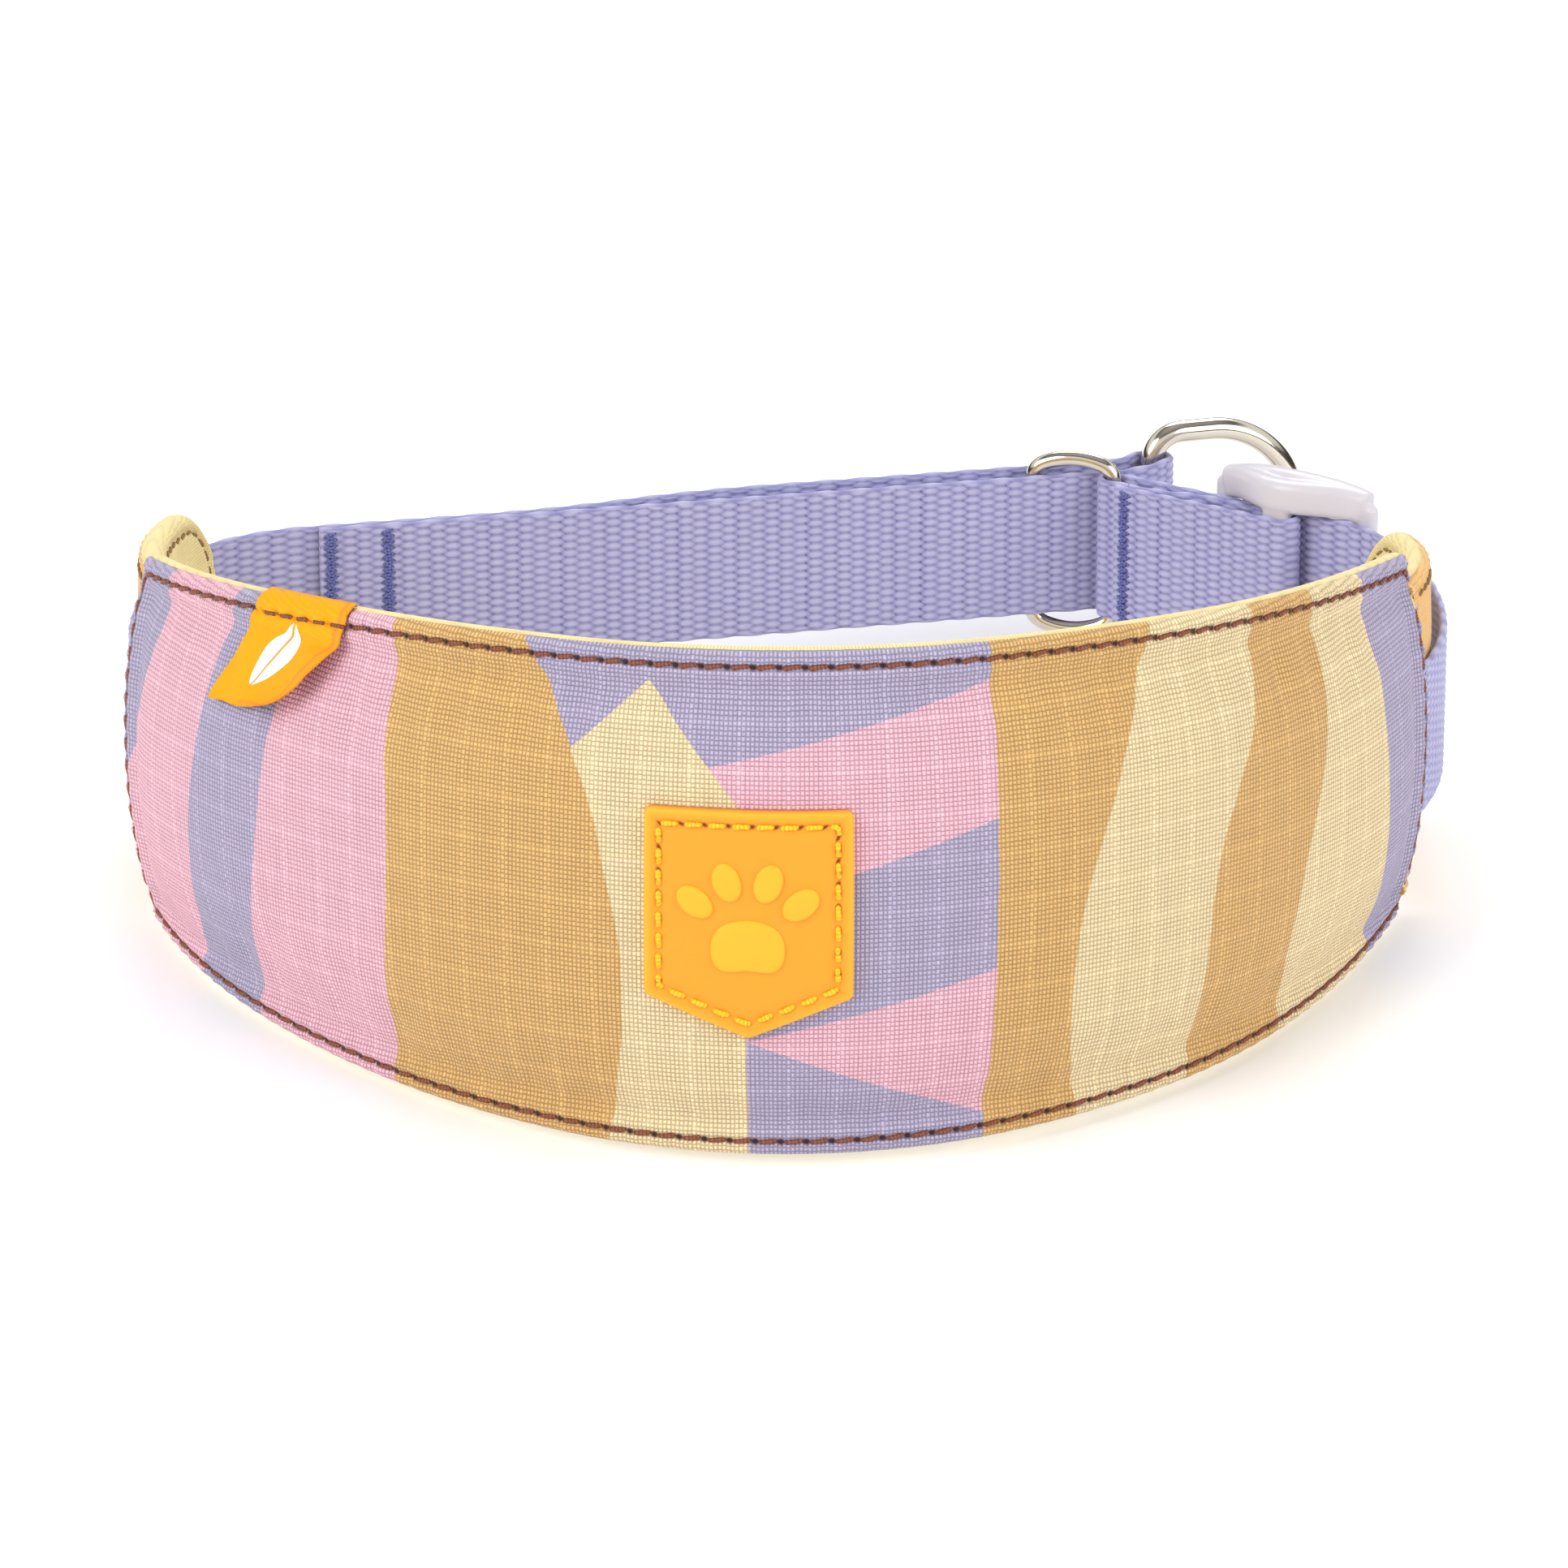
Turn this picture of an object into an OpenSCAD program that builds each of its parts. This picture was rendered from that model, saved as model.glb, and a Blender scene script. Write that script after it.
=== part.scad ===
// Martingale collar: a wide padded front panel, a control strap that ends in a leash D-ring, and an
// adjustable neck strap whose oval ring runs along the control strap. Millimetres.
// The plan shapes are worked out in the level frame of the neck loop: X right, Y from the front panel to
// the back, Z along the neck. stand() then leans the whole collar back until it rests on its own edges.

/* [Front panel] */
// Height of the panel at its middle
panel_h = 65; // [50:1:75]
// Height of the panel at its end seams
panel_end_h = 48; // [44:1:50]
// Bend radius of the panel at its middle
nose_r = 62; // [55:1:70]
// Bend radius of the panel along its sides
flank_r = 105; // [95:1:115]
// Angle from the middle of the panel at which the sides take over
nose_angle = 25; // [20:1:30]
// Angle from the middle of the panel to its end seams
panel_angle = 71; // [68:1:74]

/* [Webbing] */
// Width of all the webbing
web_w = 20; // [18:1:20]
// Thickness of all the webbing
web_t = 1.2; // [1:0.1:1.3]
// Heading of the straight run of the control strap
run_heading = 14.5; // [12:0.5:16]

/* [Hardware] */
// Wire diameter of the leash D-ring
d_wire = 3.2; // [2.8:0.1:3.4]
// Outside height of the D-ring, along its straight bar
d_h = 30; // [29:0.5:31]
// Wire diameter of the oval ring
oval_wire = 2.2; // [1.8:0.1:2.2]
// Outside width of the oval ring
oval_w = 14; // [14:0.5:15]
// Outside height of the oval ring
oval_h = 27; // [26:0.5:29]
// Length of the slider along the neck strap
slider_l = 27; // [25:1:28]
// Height of the slider across the webbing
slider_h = 31; // [28:0.5:32]

/* [Badge and tag] */
// Width of the moulded badge on the panel
badge_w = 25.6; // [20:0.2:30]
// Height of the badge's straight sides
badge_side_h = 24.6; // [20:0.2:28]
// Drop of the badge's point below its sides
badge_point = 5.6; // [3:0.2:8]
// Width of the folded side tag
tag_w = 15; // [12:1:18]
// Height of the side tag
tag_h = 17; // [14:1:19]

/* [Hidden] */

$fn = 48;
gap = 0.15;            // clearance between neighbouring pieces
path_step = 5;         // largest turn between two points of a plan path, degrees
thread_t = 0.3;        // how far a line of stitching stands off its cloth
thread_w = 0.7;        // width of a line of stitching
stitch_inset = 2;      // distance of the topstitching from the edges

mid_x = 2;             // plan position of the middle of the panel
front_y = -46;

// Layers of the panel, as offsets outwards from its plan path
lining_in = -1.8;
lining_out = -1.1;
padding_in = -1.0;
padding_out = 3.5;
cover_in = 3.6;
cover_out = 4.2;

// How far the whole collar leans back, and the plan position of the middle of the neck opening
lean = 6.7;
neck_mid = [2, 32];

// ---- Plan paths: a walk of legs [length, turn], each leg a straight line or an arc ----

function along(a) = [cos(a), sin(a)];
function left_of(a) = [-sin(a), cos(a)];
function rad(a) = a * PI / 180;
function leg_point(p, a, leg, k) =
    leg[1] == 0
    ? p + leg[0] * k * along(a)
    : p + leg[0] / rad(leg[1]) * (left_of(a) - left_of(a + leg[1] * k));
function leg_steps(leg) = max(1, ceil(abs(leg[1]) / path_step));
function walk(p, a, legs, i = 0) =
    i == len(legs)
    ? [[p, a]]
    : concat(
        [for (j = [0 : leg_steps(legs[i]) - 1])
            let (k = j / leg_steps(legs[i]))
            [leg_point(p, a, legs[i], k), a + legs[i][1] * k]],
        walk(leg_point(p, a, legs[i], 1), a + legs[i][1], legs, i + 1));
function last(path) = path[len(path) - 1];
function reversed(path) = [for (i = [len(path) - 1 : -1 : 0]) path[i]];
function arc(r, turn) = [abs(rad(turn)) * r, turn];
// The same path with its two ends cut square to other headings
function recut(path, first, end) = concat(
    [[path[0][0], first]],
    [for (i = [1 : len(path) - 2]) path[i]],
    [[last(path)[0], end]]);

// A band that stands on edge along a path, between two offsets to its right
module band(path, from, to, h) {
    linear_extrude(h, center = true)
        polygon(concat(
            [for (q = path) q[0] - from * left_of(q[1])],
            [for (q = reversed(path)) q[0] - to * left_of(q[1])]));
}

// Webbing centred on a path
module webbing(path) {
    band(path, -web_t / 2, web_t / 2, web_w);
}

// A flat drawing in X and Z, run through the collar from front to back
module seen_from_front() {
    rotate([90, 0, 0])
        linear_extrude(400, center = true)
        children();
}

// A flat drawing in Y and Z, run through the collar from side to side
module seen_from_side() {
    rotate([90, 0, 90])
        linear_extrude(400, center = true)
        children();
}

module mirrored_side() {
    translate([mid_x, 0, 0])
        mirror([1, 0, 0])
        translate([-mid_x, 0, 0])
        children();
}

// ---- Front panel ----

flank_angle = panel_angle - nose_angle;
nose_len = rad(nose_angle) * nose_r;
panel_len = nose_len + rad(flank_angle) * flank_r;
flank_centre = nose_r - flank_r;

// Point of the panel's plan path at a distance s to the right of its middle, and its heading there
function panel_turn(s) =
    abs(s) < nose_len
    ? s / nose_r * 180 / PI
    : sign(s) * (nose_angle + (abs(s) - nose_len) / flank_r * 180 / PI);
function panel_point(s) =
    let (a = panel_turn(s))
    abs(s) < nose_len
    ? [mid_x + nose_r * sin(a), front_y + nose_r * (1 - cos(a))]
    : [
        mid_x + flank_r * sin(a) + sign(s) * flank_centre * sin(nose_angle),
        front_y + nose_r - flank_r * cos(a) - flank_centre * cos(nose_angle)
    ];
function panel_half_h(s) = panel_end_h / 2 + (panel_h - panel_end_h) / 2 * (1 - pow(s / panel_len, 2));

// The end seams are cut a little off square, in line with the control strap's straight run
cut_angle = 90 - run_heading;
panel_path = recut(
    walk(
        panel_point(-panel_len), -panel_angle,
        [arc(flank_r, flank_angle), arc(nose_r, 2 * nose_angle), arc(flank_r, flank_angle)]),
    -cut_angle, cut_angle);

// The panel's leaf outline seen from the front at a given offset of its plan path, with an inset from
// every edge. Layers are cut square at the end seams, so an outline without inset runs past them.
function leaf_x(s, offset) = panel_point(s)[0] + offset * sin(panel_turn(s));

module leaf(offset, inset) {
    reach = panel_len - inset;
    stations = [for (k = [-16 : 16]) reach * k / 16];
    overrun = inset == 0 ? 3 : 0;
    polygon(concat(
        [[leaf_x(-reach, offset) - overrun, panel_half_h(reach) - inset]],
        [for (s = stations) [leaf_x(s, offset), panel_half_h(s) - inset]],
        [[leaf_x(reach, offset) + overrun, panel_half_h(reach) - inset]],
        [[leaf_x(reach, offset) + overrun, inset - panel_half_h(reach)]],
        [for (s = stations) [leaf_x(-s, offset), inset - panel_half_h(-s)]],
        [[leaf_x(-reach, offset) - overrun, inset - panel_half_h(reach)]]));
}

module panel_layer(from, to) {
    intersection() {
        band(panel_path, from, to, panel_h + 2);
        seen_from_front()
            children();
    }
}

module panel_cover() {
    color("#d9b27a")
        panel_layer(cover_in, cover_out) leaf(cover_out, 0);
}

module panel_padding() {
    color("#f2efe6")
        panel_layer(padding_in, padding_out) leaf(padding_out / 2, 0);
}

module panel_lining() {
    color("#f3e2a4")
        panel_layer(lining_in, lining_out) leaf(lining_in, 0);
}

module panel_topstitch() {
    color("#7a3b2a")
        panel_layer(cover_out + 0.05, cover_out + 0.05 + thread_t)
        difference() {
            leaf(cover_out, stitch_inset);
            leaf(cover_out, stitch_inset + thread_w);
        }
}

// ---- Badge ----

badge_top = 12.9;      // height of the badge's top edge above the loop's middle
badge_x = -2.6;        // plan position of the badge's middle
badge_in = cover_out + 0.1;
badge_out = badge_in + 1.3;

module shield(inset) {
    half = badge_w / 2 - inset;
    top = badge_top - inset;
    side = badge_top - badge_side_h + inset / 4;
    translate([badge_x, 0])
        polygon([
            [-half, side], [0, side - badge_point + inset / 2], [half, side], [half, top], [-half, top]
        ]);
}

// A paw: one pad and four toes
module paw() {
    $fn = 28;
    translate([badge_x, -2.2])
        scale(1.3) {
        hull() {
            for (side = [-1, 1])
                translate([side * 2, -1.4])
                    circle(1.9);
            translate([0, 0.9])
                circle(1.7);
        }
        for (a = [-48, -17, 17, 48])
            rotate(-a)
                translate([0, 6.1])
                    hull() {
                        circle(1.15);
                        translate([0, 1.1])
                            circle(1.05);
                    }
    }
}

module badge_patch() {
    color("#f5a623") {
        union() {
            panel_layer(badge_in, badge_out) shield(0);
            panel_layer(badge_out - 0.2, badge_out + 0.5) paw();
        }
    }
}

module badge_stitching() {
    color("#f2c300")
        panel_layer(badge_out + 0.05, badge_out + 0.05 + thread_t)
        difference() {
            shield(1.8);
            shield(1.8 + thread_w);
        }
}

// ---- Side tag: a folded strip caught under the topstitching ----

tag_s = -68;           // distance of the tag's middle along the panel
tag_t = 0.8;
tag_slant = 5;

module side_tag() {
    top_z = panel_half_h(tag_s) - 0.8;
    color("#f7b500")
        translate(concat(panel_point(tag_s), [top_z]))
        rotate([0, 0, panel_turn(tag_s)])
        translate([0, -cover_out - 0.5, 0])
        rotate([90, 0, 0])
        linear_extrude(tag_t)
        polygon([
            [-tag_w / 2, 0.6], [tag_w / 2, -0.6], [tag_w / 2 - 1, -tag_h + 6],
            [tag_w / 2 - 7, -tag_h + 1], [-tag_w / 2 - tag_slant, -tag_h]
        ]);
}

// ---- Tongues: padded tabs behind the end seams that keep the webbing off the neck ----

// Length and turn of the right tongue and of the left one, which is longer
right_tongue = [36, 46];
left_tongue = [45, 43];
tongue_h = 44;
tongue_round = 13;
seam = panel_point(panel_len);
// The webbing is sewn on outside the tongues
right_seam = seam + gap * along(panel_angle) + 3.2 * along(cut_angle - 90);
left_seam = [2 * mid_x - right_seam[0], right_seam[1]];

function tongue_walk(leg) = walk(seam + gap * along(panel_angle), panel_angle, [leg]);
function tongue_end(leg) = last(tongue_walk(leg));
function tongue_path(leg) = recut(tongue_walk(leg), cut_angle, tongue_end(leg)[1]);

module tongue_outline(leg, inset) {
    hull() {
        translate([seam[1] - 2, 0])
            square([0.1, tongue_h - 2 * inset], center = true);
        for (side = [-1, 1])
            translate([tongue_end(leg)[0][1] - tongue_round, side * (tongue_h / 2 - tongue_round - 3)])
                circle(tongue_round - inset);
    }
}

module tongue_layer(leg, from, to) {
    intersection() {
        band(tongue_path(leg), from, to, tongue_h);
        seen_from_side()
            children();
    }
}

module tongue_cover(leg) {
    color("#dca45c")
        tongue_layer(leg, 1.7, 2.4) tongue_outline(leg, 0);
}

module tongue_padding(leg) {
    color("#f2efe6")
        tongue_layer(leg, -1.1, 1.6) tongue_outline(leg, 0);
}

module tongue_lining(leg) {
    color("#f3e2a4")
        tongue_layer(leg, -1.9, -1.2) tongue_outline(leg, 0);
}

module tongue_stitching(leg) {
    color("#a07a3c")
        tongue_layer(leg, -1.95 - thread_t, -1.95)
        difference() {
            tongue_outline(leg, stitch_inset);
            tongue_outline(leg, stitch_inset + thread_w);
        }
}

module right_tongue_cover() tongue_cover(right_tongue);
module right_tongue_padding() tongue_padding(right_tongue);
module right_tongue_lining() tongue_lining(right_tongue);
module right_tongue_stitching() tongue_stitching(right_tongue);
module left_tongue_cover() mirrored_side() tongue_cover(left_tongue);
module left_tongue_padding() mirrored_side() tongue_padding(left_tongue);
module left_tongue_lining() mirrored_side() tongue_lining(left_tongue);
module left_tongue_stitching() mirrored_side() tongue_stitching(left_tongue);

// ---- Rings ----

// A quarter of a wire ring, from the direction of +X to that of +Y
module wire_corner(r, wire, sweep = 90) {
    rotate_extrude(angle = sweep)
        translate([r, 0])
        circle(d = wire);
}

module wire_bar(from, to, wire) {
    length = norm(to - from);
    translate(from)
        rotate([0, 90, atan2(to[1] - from[1], to[0] - from[0])])
        cylinder(d = wire, h = length);
}

// ---- Control strap: the ring slides on its inner layer, and its fold holds the D-ring ----

web_half = web_t / 2;
run_point = [42.8, 109];                            // where the oval ring stands on the strap
d_fold_r = d_wire / 2 + web_half + 0.5;             // fold of the strap around the D-ring's bar
loop_r = 14;
loop_turn = 46.7;
cut_end_back = 109.3;                               // cut end of the inner layer, behind run_point
control_start = run_point - cut_end_back * along(run_heading);
loop_gap = 2 * d_fold_r;                            // spacing of the two layers beside the ring
join_gap = web_t + gap;                             // spacing where they are sewn together
join_turn = 10.5;
join_len = rad(join_turn) * (loop_gap - join_gap) / 2 / (1 - cos(join_turn));
loop_start = 5.5;                                   // the end loop begins this far past the ring
join_run = 23.5;
limb_r = 26;
seam_turn = 25;                                     // the last bend, round the tongue to the seam
limb_turn = 180 - panel_angle - run_heading - seam_turn;

inner_legs = [[cut_end_back + loop_start, 0], arc(loop_r, loop_turn)];
control_fold = walk(control_start, run_heading, inner_legs);
inner_end = last(control_fold);
d_bar = inner_end[0] + d_fold_r * left_of(inner_end[1]);
// The outer layer leaves its straight run, bends round the back of the neck and meets the left seam. The
// lengths of its two straight stretches follow from where the seam is.
function outer_legs(run, limb_run) = [
    arc(d_fold_r, 180),
    arc(loop_r - loop_gap, -loop_turn),
    [run, 0],
    [join_len, join_turn],
    [join_len, -join_turn],
    [join_run, 0],
    arc(limb_r, limb_turn),
    [limb_run, 0],
    [26.5, seam_turn]
];
limb_heading = run_heading + 180 + limb_turn;
short_by = left_seam - last(walk(inner_end[0], inner_end[1], outer_legs(0, 0)))[0];
crossing = sin(limb_turn);
outer_run = -(short_by * left_of(limb_heading)) / crossing;
limb_run = short_by * left_of(run_heading + 180) / crossing;

module control_strap() {
    color("#9a97cf")
        webbing(recut(
            walk(control_start, run_heading, concat(inner_legs, outer_legs(outer_run, limb_run))),
            run_heading, -cut_angle));
}

// A dense row of stitches across the webbing, at a distance back along a straight run
module bartack(p, a, side) {
    translate(concat(p + side * (web_half + 0.03 + thread_t / 2) * left_of(a), [0]))
        rotate([0, 0, a])
        cube([1.7, thread_t, web_w - 2], center = true);
}

module control_strap_bartacks() {
    color("#6f73b4")
        for (d = [1.4, 9.6])
            bartack(control_start + d * along(run_heading), run_heading, -1);
}

d_bar_half = d_h / 2 - d_wire / 2;
d_corner = 4.6;
d_arm = 4.5;
d_heading = 18;

module d_ring() {
    color("#c9c4b8")
        translate(concat(d_bar, [0]))
        rotate([0, 0, d_heading])
        rotate([90, 0, 0]) {
            straight = d_bar_half - d_corner;
            wire_bar([0, -straight], [0, straight], d_wire);
            for (side = [0, 1])
                mirror([0, side, 0]) {
                    translate([d_corner, straight])
                        rotate(90)
                        wire_corner(d_corner, d_wire);
                    wire_bar([d_corner, d_bar_half], [d_corner + d_arm, d_bar_half], d_wire);
                }
            translate([d_corner + d_arm, 0])
                rotate(-90)
                wire_corner(d_bar_half, d_wire, 180);
        }
}

// ---- Oval ring: the control strap passes in front of its left bar and behind its right bar ----

bar_gap = oval_w - oval_wire;
left_bar_n = web_half + gap + oval_wire / 2;
right_bar_n = -(web_half + gap + web_t + gap + oval_wire / 2);
oval_tilt = asin((left_bar_n - right_bar_n) / bar_gap);
oval_heading = run_heading - oval_tilt;
oval_mid = run_point + (left_bar_n + right_bar_n) / 2 * left_of(run_heading);
oval_corner = 2.8;

module oval_ring() {
    half_w = bar_gap / 2;
    half_h = (oval_h - oval_wire) / 2;
    color("#c9c4b8")
        translate(concat(oval_mid, [0]))
        rotate([0, 0, oval_heading])
        rotate([90, 0, 0])
        for (sx = [0, 1], sy = [0, 1])
            mirror([sx, 0, 0])
            mirror([0, sy, 0]) {
                wire_bar([half_w, 0], [half_w, half_h - oval_corner], oval_wire);
                translate([half_w - oval_corner, half_h - oval_corner])
                    wire_corner(oval_corner, oval_wire);
                wire_bar([half_w - oval_corner, half_h], [0, half_h], oval_wire);
            }
}

// ---- Neck strap: from the right seam, through the slider, round the oval ring's right bar ----

neck_heading = -38;                                 // from the ring to the slider
ring_bar = oval_mid + bar_gap / 2 * along(oval_heading);
ring_fold_r = oval_wire / 2 + gap + web_half;
fold_point = ring_bar + ring_fold_r * left_of(neck_heading);
neck_back = neck_heading + 180;
bulge_legs = [[18, 14], [17, 10], [13, 10]];
bulge = last(walk(right_seam, panel_angle, bulge_legs));
bend_turn = neck_back - bulge[1];
// How far from the fold the strap leaves its straight run, and the bend that takes it there
straight_run = 36.5;
bend_end = fold_point + straight_run * along(neck_heading);
to_bend = bend_end - bulge[0];
across = to_bend * left_of(bulge[1]);
bend_r = across / (1 - cos(bend_turn));
lead = to_bend * along(bulge[1]) - bend_r * sin(bend_turn);
stub = 4;

module neck_strap() {
    color("#9a97cf")
        webbing(recut(
            walk(right_seam, panel_angle, concat(bulge_legs, [
                [lead, 0],
                arc(bend_r, bend_turn),
                [straight_run, 0],
                arc(ring_fold_r, 180),
                [stub, 0]
            ])),
            cut_angle, neck_heading));
}

// ---- Slider and the strap's tail, which is folded round the slider's middle bar ----

// Places children in the slider's frame: X along the strap, Y outwards from the neck, Z up
module on_neck_run(d) {
    translate(concat(fold_point + d * along(neck_heading), [0]))
        rotate([0, 0, neck_heading])
        children();
}

slider_at = 29;
end_bar_w = 3.6;
end_bar_t = 2;
middle_bar_w = 4.4;
middle_bar_t = 2.2;
rail_h = (slider_h - web_w) / 2 - 0.7;
middle_n = -(web_half + gap + web_t + gap + middle_bar_t / 2);
end_n = web_half + gap + end_bar_t / 2;
tail_fold_r = middle_bar_t / 2 + gap + web_half;

module bar_plan(at, n, w, t) {
    hull()
        for (side = [-1, 1])
            translate([at + side * (w - t) / 2, n])
                circle(d = t, $fn = 20);
}

module end_bar(side) bar_plan(side * (slider_l - end_bar_w) / 2, end_n, end_bar_w, end_bar_t);
module middle_bar() bar_plan(0, middle_n, middle_bar_w, middle_bar_t);

// Two bowed rails join three bars, the middle one standing in towards the neck
module tri_glide_slider() {
    color("#f4f2f5")
        on_neck_run(slider_at) {
            linear_extrude(slider_h - 1, center = true) {
                end_bar(-1);
                middle_bar();
                end_bar(1);
            }
            for (side = [0, 1])
                mirror([0, 0, side])
                    translate([0, 0, slider_h / 2 - rail_h])
                    linear_extrude(rail_h)
                    offset(delta = 0.2)
                    for (end = [-1, 1])
                        hull() {
                            end_bar(end);
                            middle_bar();
                        }
        }
}

tail_join = stub + 0.3;
tail_n = -2 * ring_fold_r;
tail_drop = abs(tail_n) - web_t - gap;
tail_turn = 19;
tail_leg = rad(tail_turn) * tail_drop / 2 / (1 - cos(tail_turn));
tail_run = slider_at + (middle_bar_w - middle_bar_t) / 2 - tail_join
    - tail_drop * sin(tail_turn) / (1 - cos(tail_turn));
tail_start = fold_point + tail_join * along(neck_heading) + tail_n * left_of(neck_heading);
tail_legs = [
    [tail_leg, tail_turn],
    [tail_leg, -tail_turn],
    [tail_run, 0],
    arc(tail_fold_r, -180),
    [27.5, 0]
];
tail_path = walk(tail_start, neck_heading, tail_legs);

module strap_tail() {
    color("#9a97cf")
        webbing(tail_path);
}

module tail_bartack() {
    end = last(tail_path);
    color("#6f73b4")
        bartack(end[0] - 1.6 * along(end[1]), end[1], 1);
}

// ---- The collar at rest ----

module stand() {
    rotate([-lean, 0, 0])
        translate([-neck_mid[0], -neck_mid[1], 0])
        children();
}

stand() panel_cover();
stand() panel_padding();
stand() panel_lining();
stand() panel_topstitch();
stand() badge_patch();
stand() badge_stitching();
stand() side_tag();
stand() right_tongue_cover();
stand() right_tongue_padding();
stand() right_tongue_lining();
stand() right_tongue_stitching();
stand() left_tongue_cover();
stand() left_tongue_padding();
stand() left_tongue_lining();
stand() left_tongue_stitching();
stand() control_strap();
stand() control_strap_bartacks();
stand() d_ring();
stand() neck_strap();
stand() oval_ring();
stand() tri_glide_slider();
stand() strap_tail();
stand() tail_bartack();
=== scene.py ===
"""Martingale collar: cloth, webbing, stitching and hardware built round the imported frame.

Plan shapes are in millimetres in the level frame of the neck loop: X right, Y from the padded panel to the
back, Z along the neck. to_row() leans them back and puts them in the row frame, in metres.
"""

import math

import bpy
import numpy as np
from mathutils import Matrix, Vector


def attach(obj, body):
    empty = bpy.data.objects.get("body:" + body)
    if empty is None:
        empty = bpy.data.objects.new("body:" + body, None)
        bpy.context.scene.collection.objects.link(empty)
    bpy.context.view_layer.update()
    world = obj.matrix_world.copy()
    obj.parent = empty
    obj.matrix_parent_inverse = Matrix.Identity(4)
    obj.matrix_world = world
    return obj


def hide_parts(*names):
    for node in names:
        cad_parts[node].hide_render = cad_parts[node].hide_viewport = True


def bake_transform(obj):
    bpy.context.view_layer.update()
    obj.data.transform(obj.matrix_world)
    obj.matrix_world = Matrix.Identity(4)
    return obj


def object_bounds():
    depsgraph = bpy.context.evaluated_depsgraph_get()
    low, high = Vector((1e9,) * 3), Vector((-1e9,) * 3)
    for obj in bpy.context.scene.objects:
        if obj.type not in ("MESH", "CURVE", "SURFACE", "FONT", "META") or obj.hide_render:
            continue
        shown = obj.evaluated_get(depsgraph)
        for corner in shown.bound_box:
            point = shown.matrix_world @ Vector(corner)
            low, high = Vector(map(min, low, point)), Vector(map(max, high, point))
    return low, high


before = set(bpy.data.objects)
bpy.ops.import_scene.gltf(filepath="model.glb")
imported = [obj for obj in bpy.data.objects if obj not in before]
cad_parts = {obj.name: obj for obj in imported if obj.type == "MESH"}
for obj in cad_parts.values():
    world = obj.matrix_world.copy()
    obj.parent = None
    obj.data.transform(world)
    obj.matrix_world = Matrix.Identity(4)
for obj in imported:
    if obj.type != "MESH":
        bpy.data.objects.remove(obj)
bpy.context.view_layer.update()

MM = 0.001
# How far the neck loop leans back in the row frame, and its middle
LEAN = math.radians(6.7)
MID_X = 2.0
NECK_MID = np.array([MID_X, 32.0, 0.0])


def to_row(points):
    p = np.asarray(points, float).reshape(-1, 3) - NECK_MID
    c, s = math.cos(LEAN), math.sin(LEAN)
    return np.column_stack([p[:, 0], p[:, 1] * c + p[:, 2] * s, p[:, 2] * c - p[:, 1] * s]) * MM


# ---- Plan paths ----


def along(a):
    a = np.radians(a)
    return np.stack([np.cos(a), np.sin(a)], -1)


def left_of(a):
    a = np.radians(a)
    return np.stack([-np.sin(a), np.cos(a)], -1)


def arc(radius, turn):
    return (abs(math.radians(turn)) * radius, turn)


class Path:
    """A walk of legs (length, turn), each a straight line or an arc."""

    def __init__(self, start, heading, legs):
        self.legs = []
        p, a, s = np.array(start, float), heading, 0.0
        for length, turn in legs:
            self.legs.append((s, length, p, a, turn))
            p = self.step(p, a, length, turn, np.array(1.0))
            a += turn
            s += length
        self.length, self.end, self.heading = s, p, a

    @staticmethod
    def step(p, a, length, turn, k):
        k = np.asarray(k, float)[..., None]
        if abs(turn) < 1e-6:
            return p + length * k * along(a)
        return p + length / math.radians(turn) * (left_of(a) - left_of(a + turn * k[..., 0]))

    def at(self, s):
        """Plan points and headings at distances s, carried on straight past either end."""
        s = np.asarray(s, float)
        point, heading = np.zeros(s.shape + (2,)), np.zeros(s.shape)
        for n, (s0, length, p, a, turn) in enumerate(self.legs):
            here = s >= s0 if n else np.ones(s.shape, bool)
            k = np.clip((s - s0) / length, 0, 1)
            point[here] = self.step(p, a, length, turn, k)[here]
            heading[here] = (a + turn * k)[here]
        point += (np.minimum(s, 0) + np.maximum(s - self.length, 0))[..., None] * along(heading)
        return point, heading


# ---- Front panel, as in the CAD ----

# Seen from above, the panel is a round nose between two flatter flanks
NOSE_R, FLANK_R, NOSE_ANGLE, PANEL_ANGLE = 62.0, 105.0, 25.0, 71.0
FRONT_Y = -46.0
NOSE_LEN = math.radians(NOSE_ANGLE) * NOSE_R
PANEL_LEN = NOSE_LEN + math.radians(PANEL_ANGLE - NOSE_ANGLE) * FLANK_R
# Half heights at its ends and its middle, and the heading of the straight run of the control strap
END_H, MID_H = 25.0, 33.2
RUN_HEADING = 14.5
panel_path = Path(
    (
        MID_X - NOSE_R * math.sin(math.radians(NOSE_ANGLE)),
        FRONT_Y + NOSE_R * (1 - math.cos(math.radians(NOSE_ANGLE))),
    ),
    -NOSE_ANGLE,
    [arc(NOSE_R, 2 * NOSE_ANGLE), arc(FLANK_R, PANEL_ANGLE - NOSE_ANGLE)],
)


def panel_plan(s):
    """Plan point and heading of the panel at distances s to the right of its middle."""
    side = np.where(np.asarray(s) < 0, -1.0, 1.0)
    point, heading = panel_path.at(np.abs(s) + NOSE_LEN)
    point = point.copy()
    point[..., 0] = MID_X + side * (point[..., 0] - MID_X)
    return point, heading * side


def panel_half_h(s):
    return END_H + (MID_H - END_H) * (1 - (np.asarray(s) / PANEL_LEN) ** 2)


def panel_place(s, z, n):
    point, heading = panel_plan(s)
    point = point - np.asarray(n)[..., None] * left_of(heading)
    return np.concatenate([point, np.asarray(z)[..., None]], -1)


# ---- Mesh helpers ----


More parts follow.
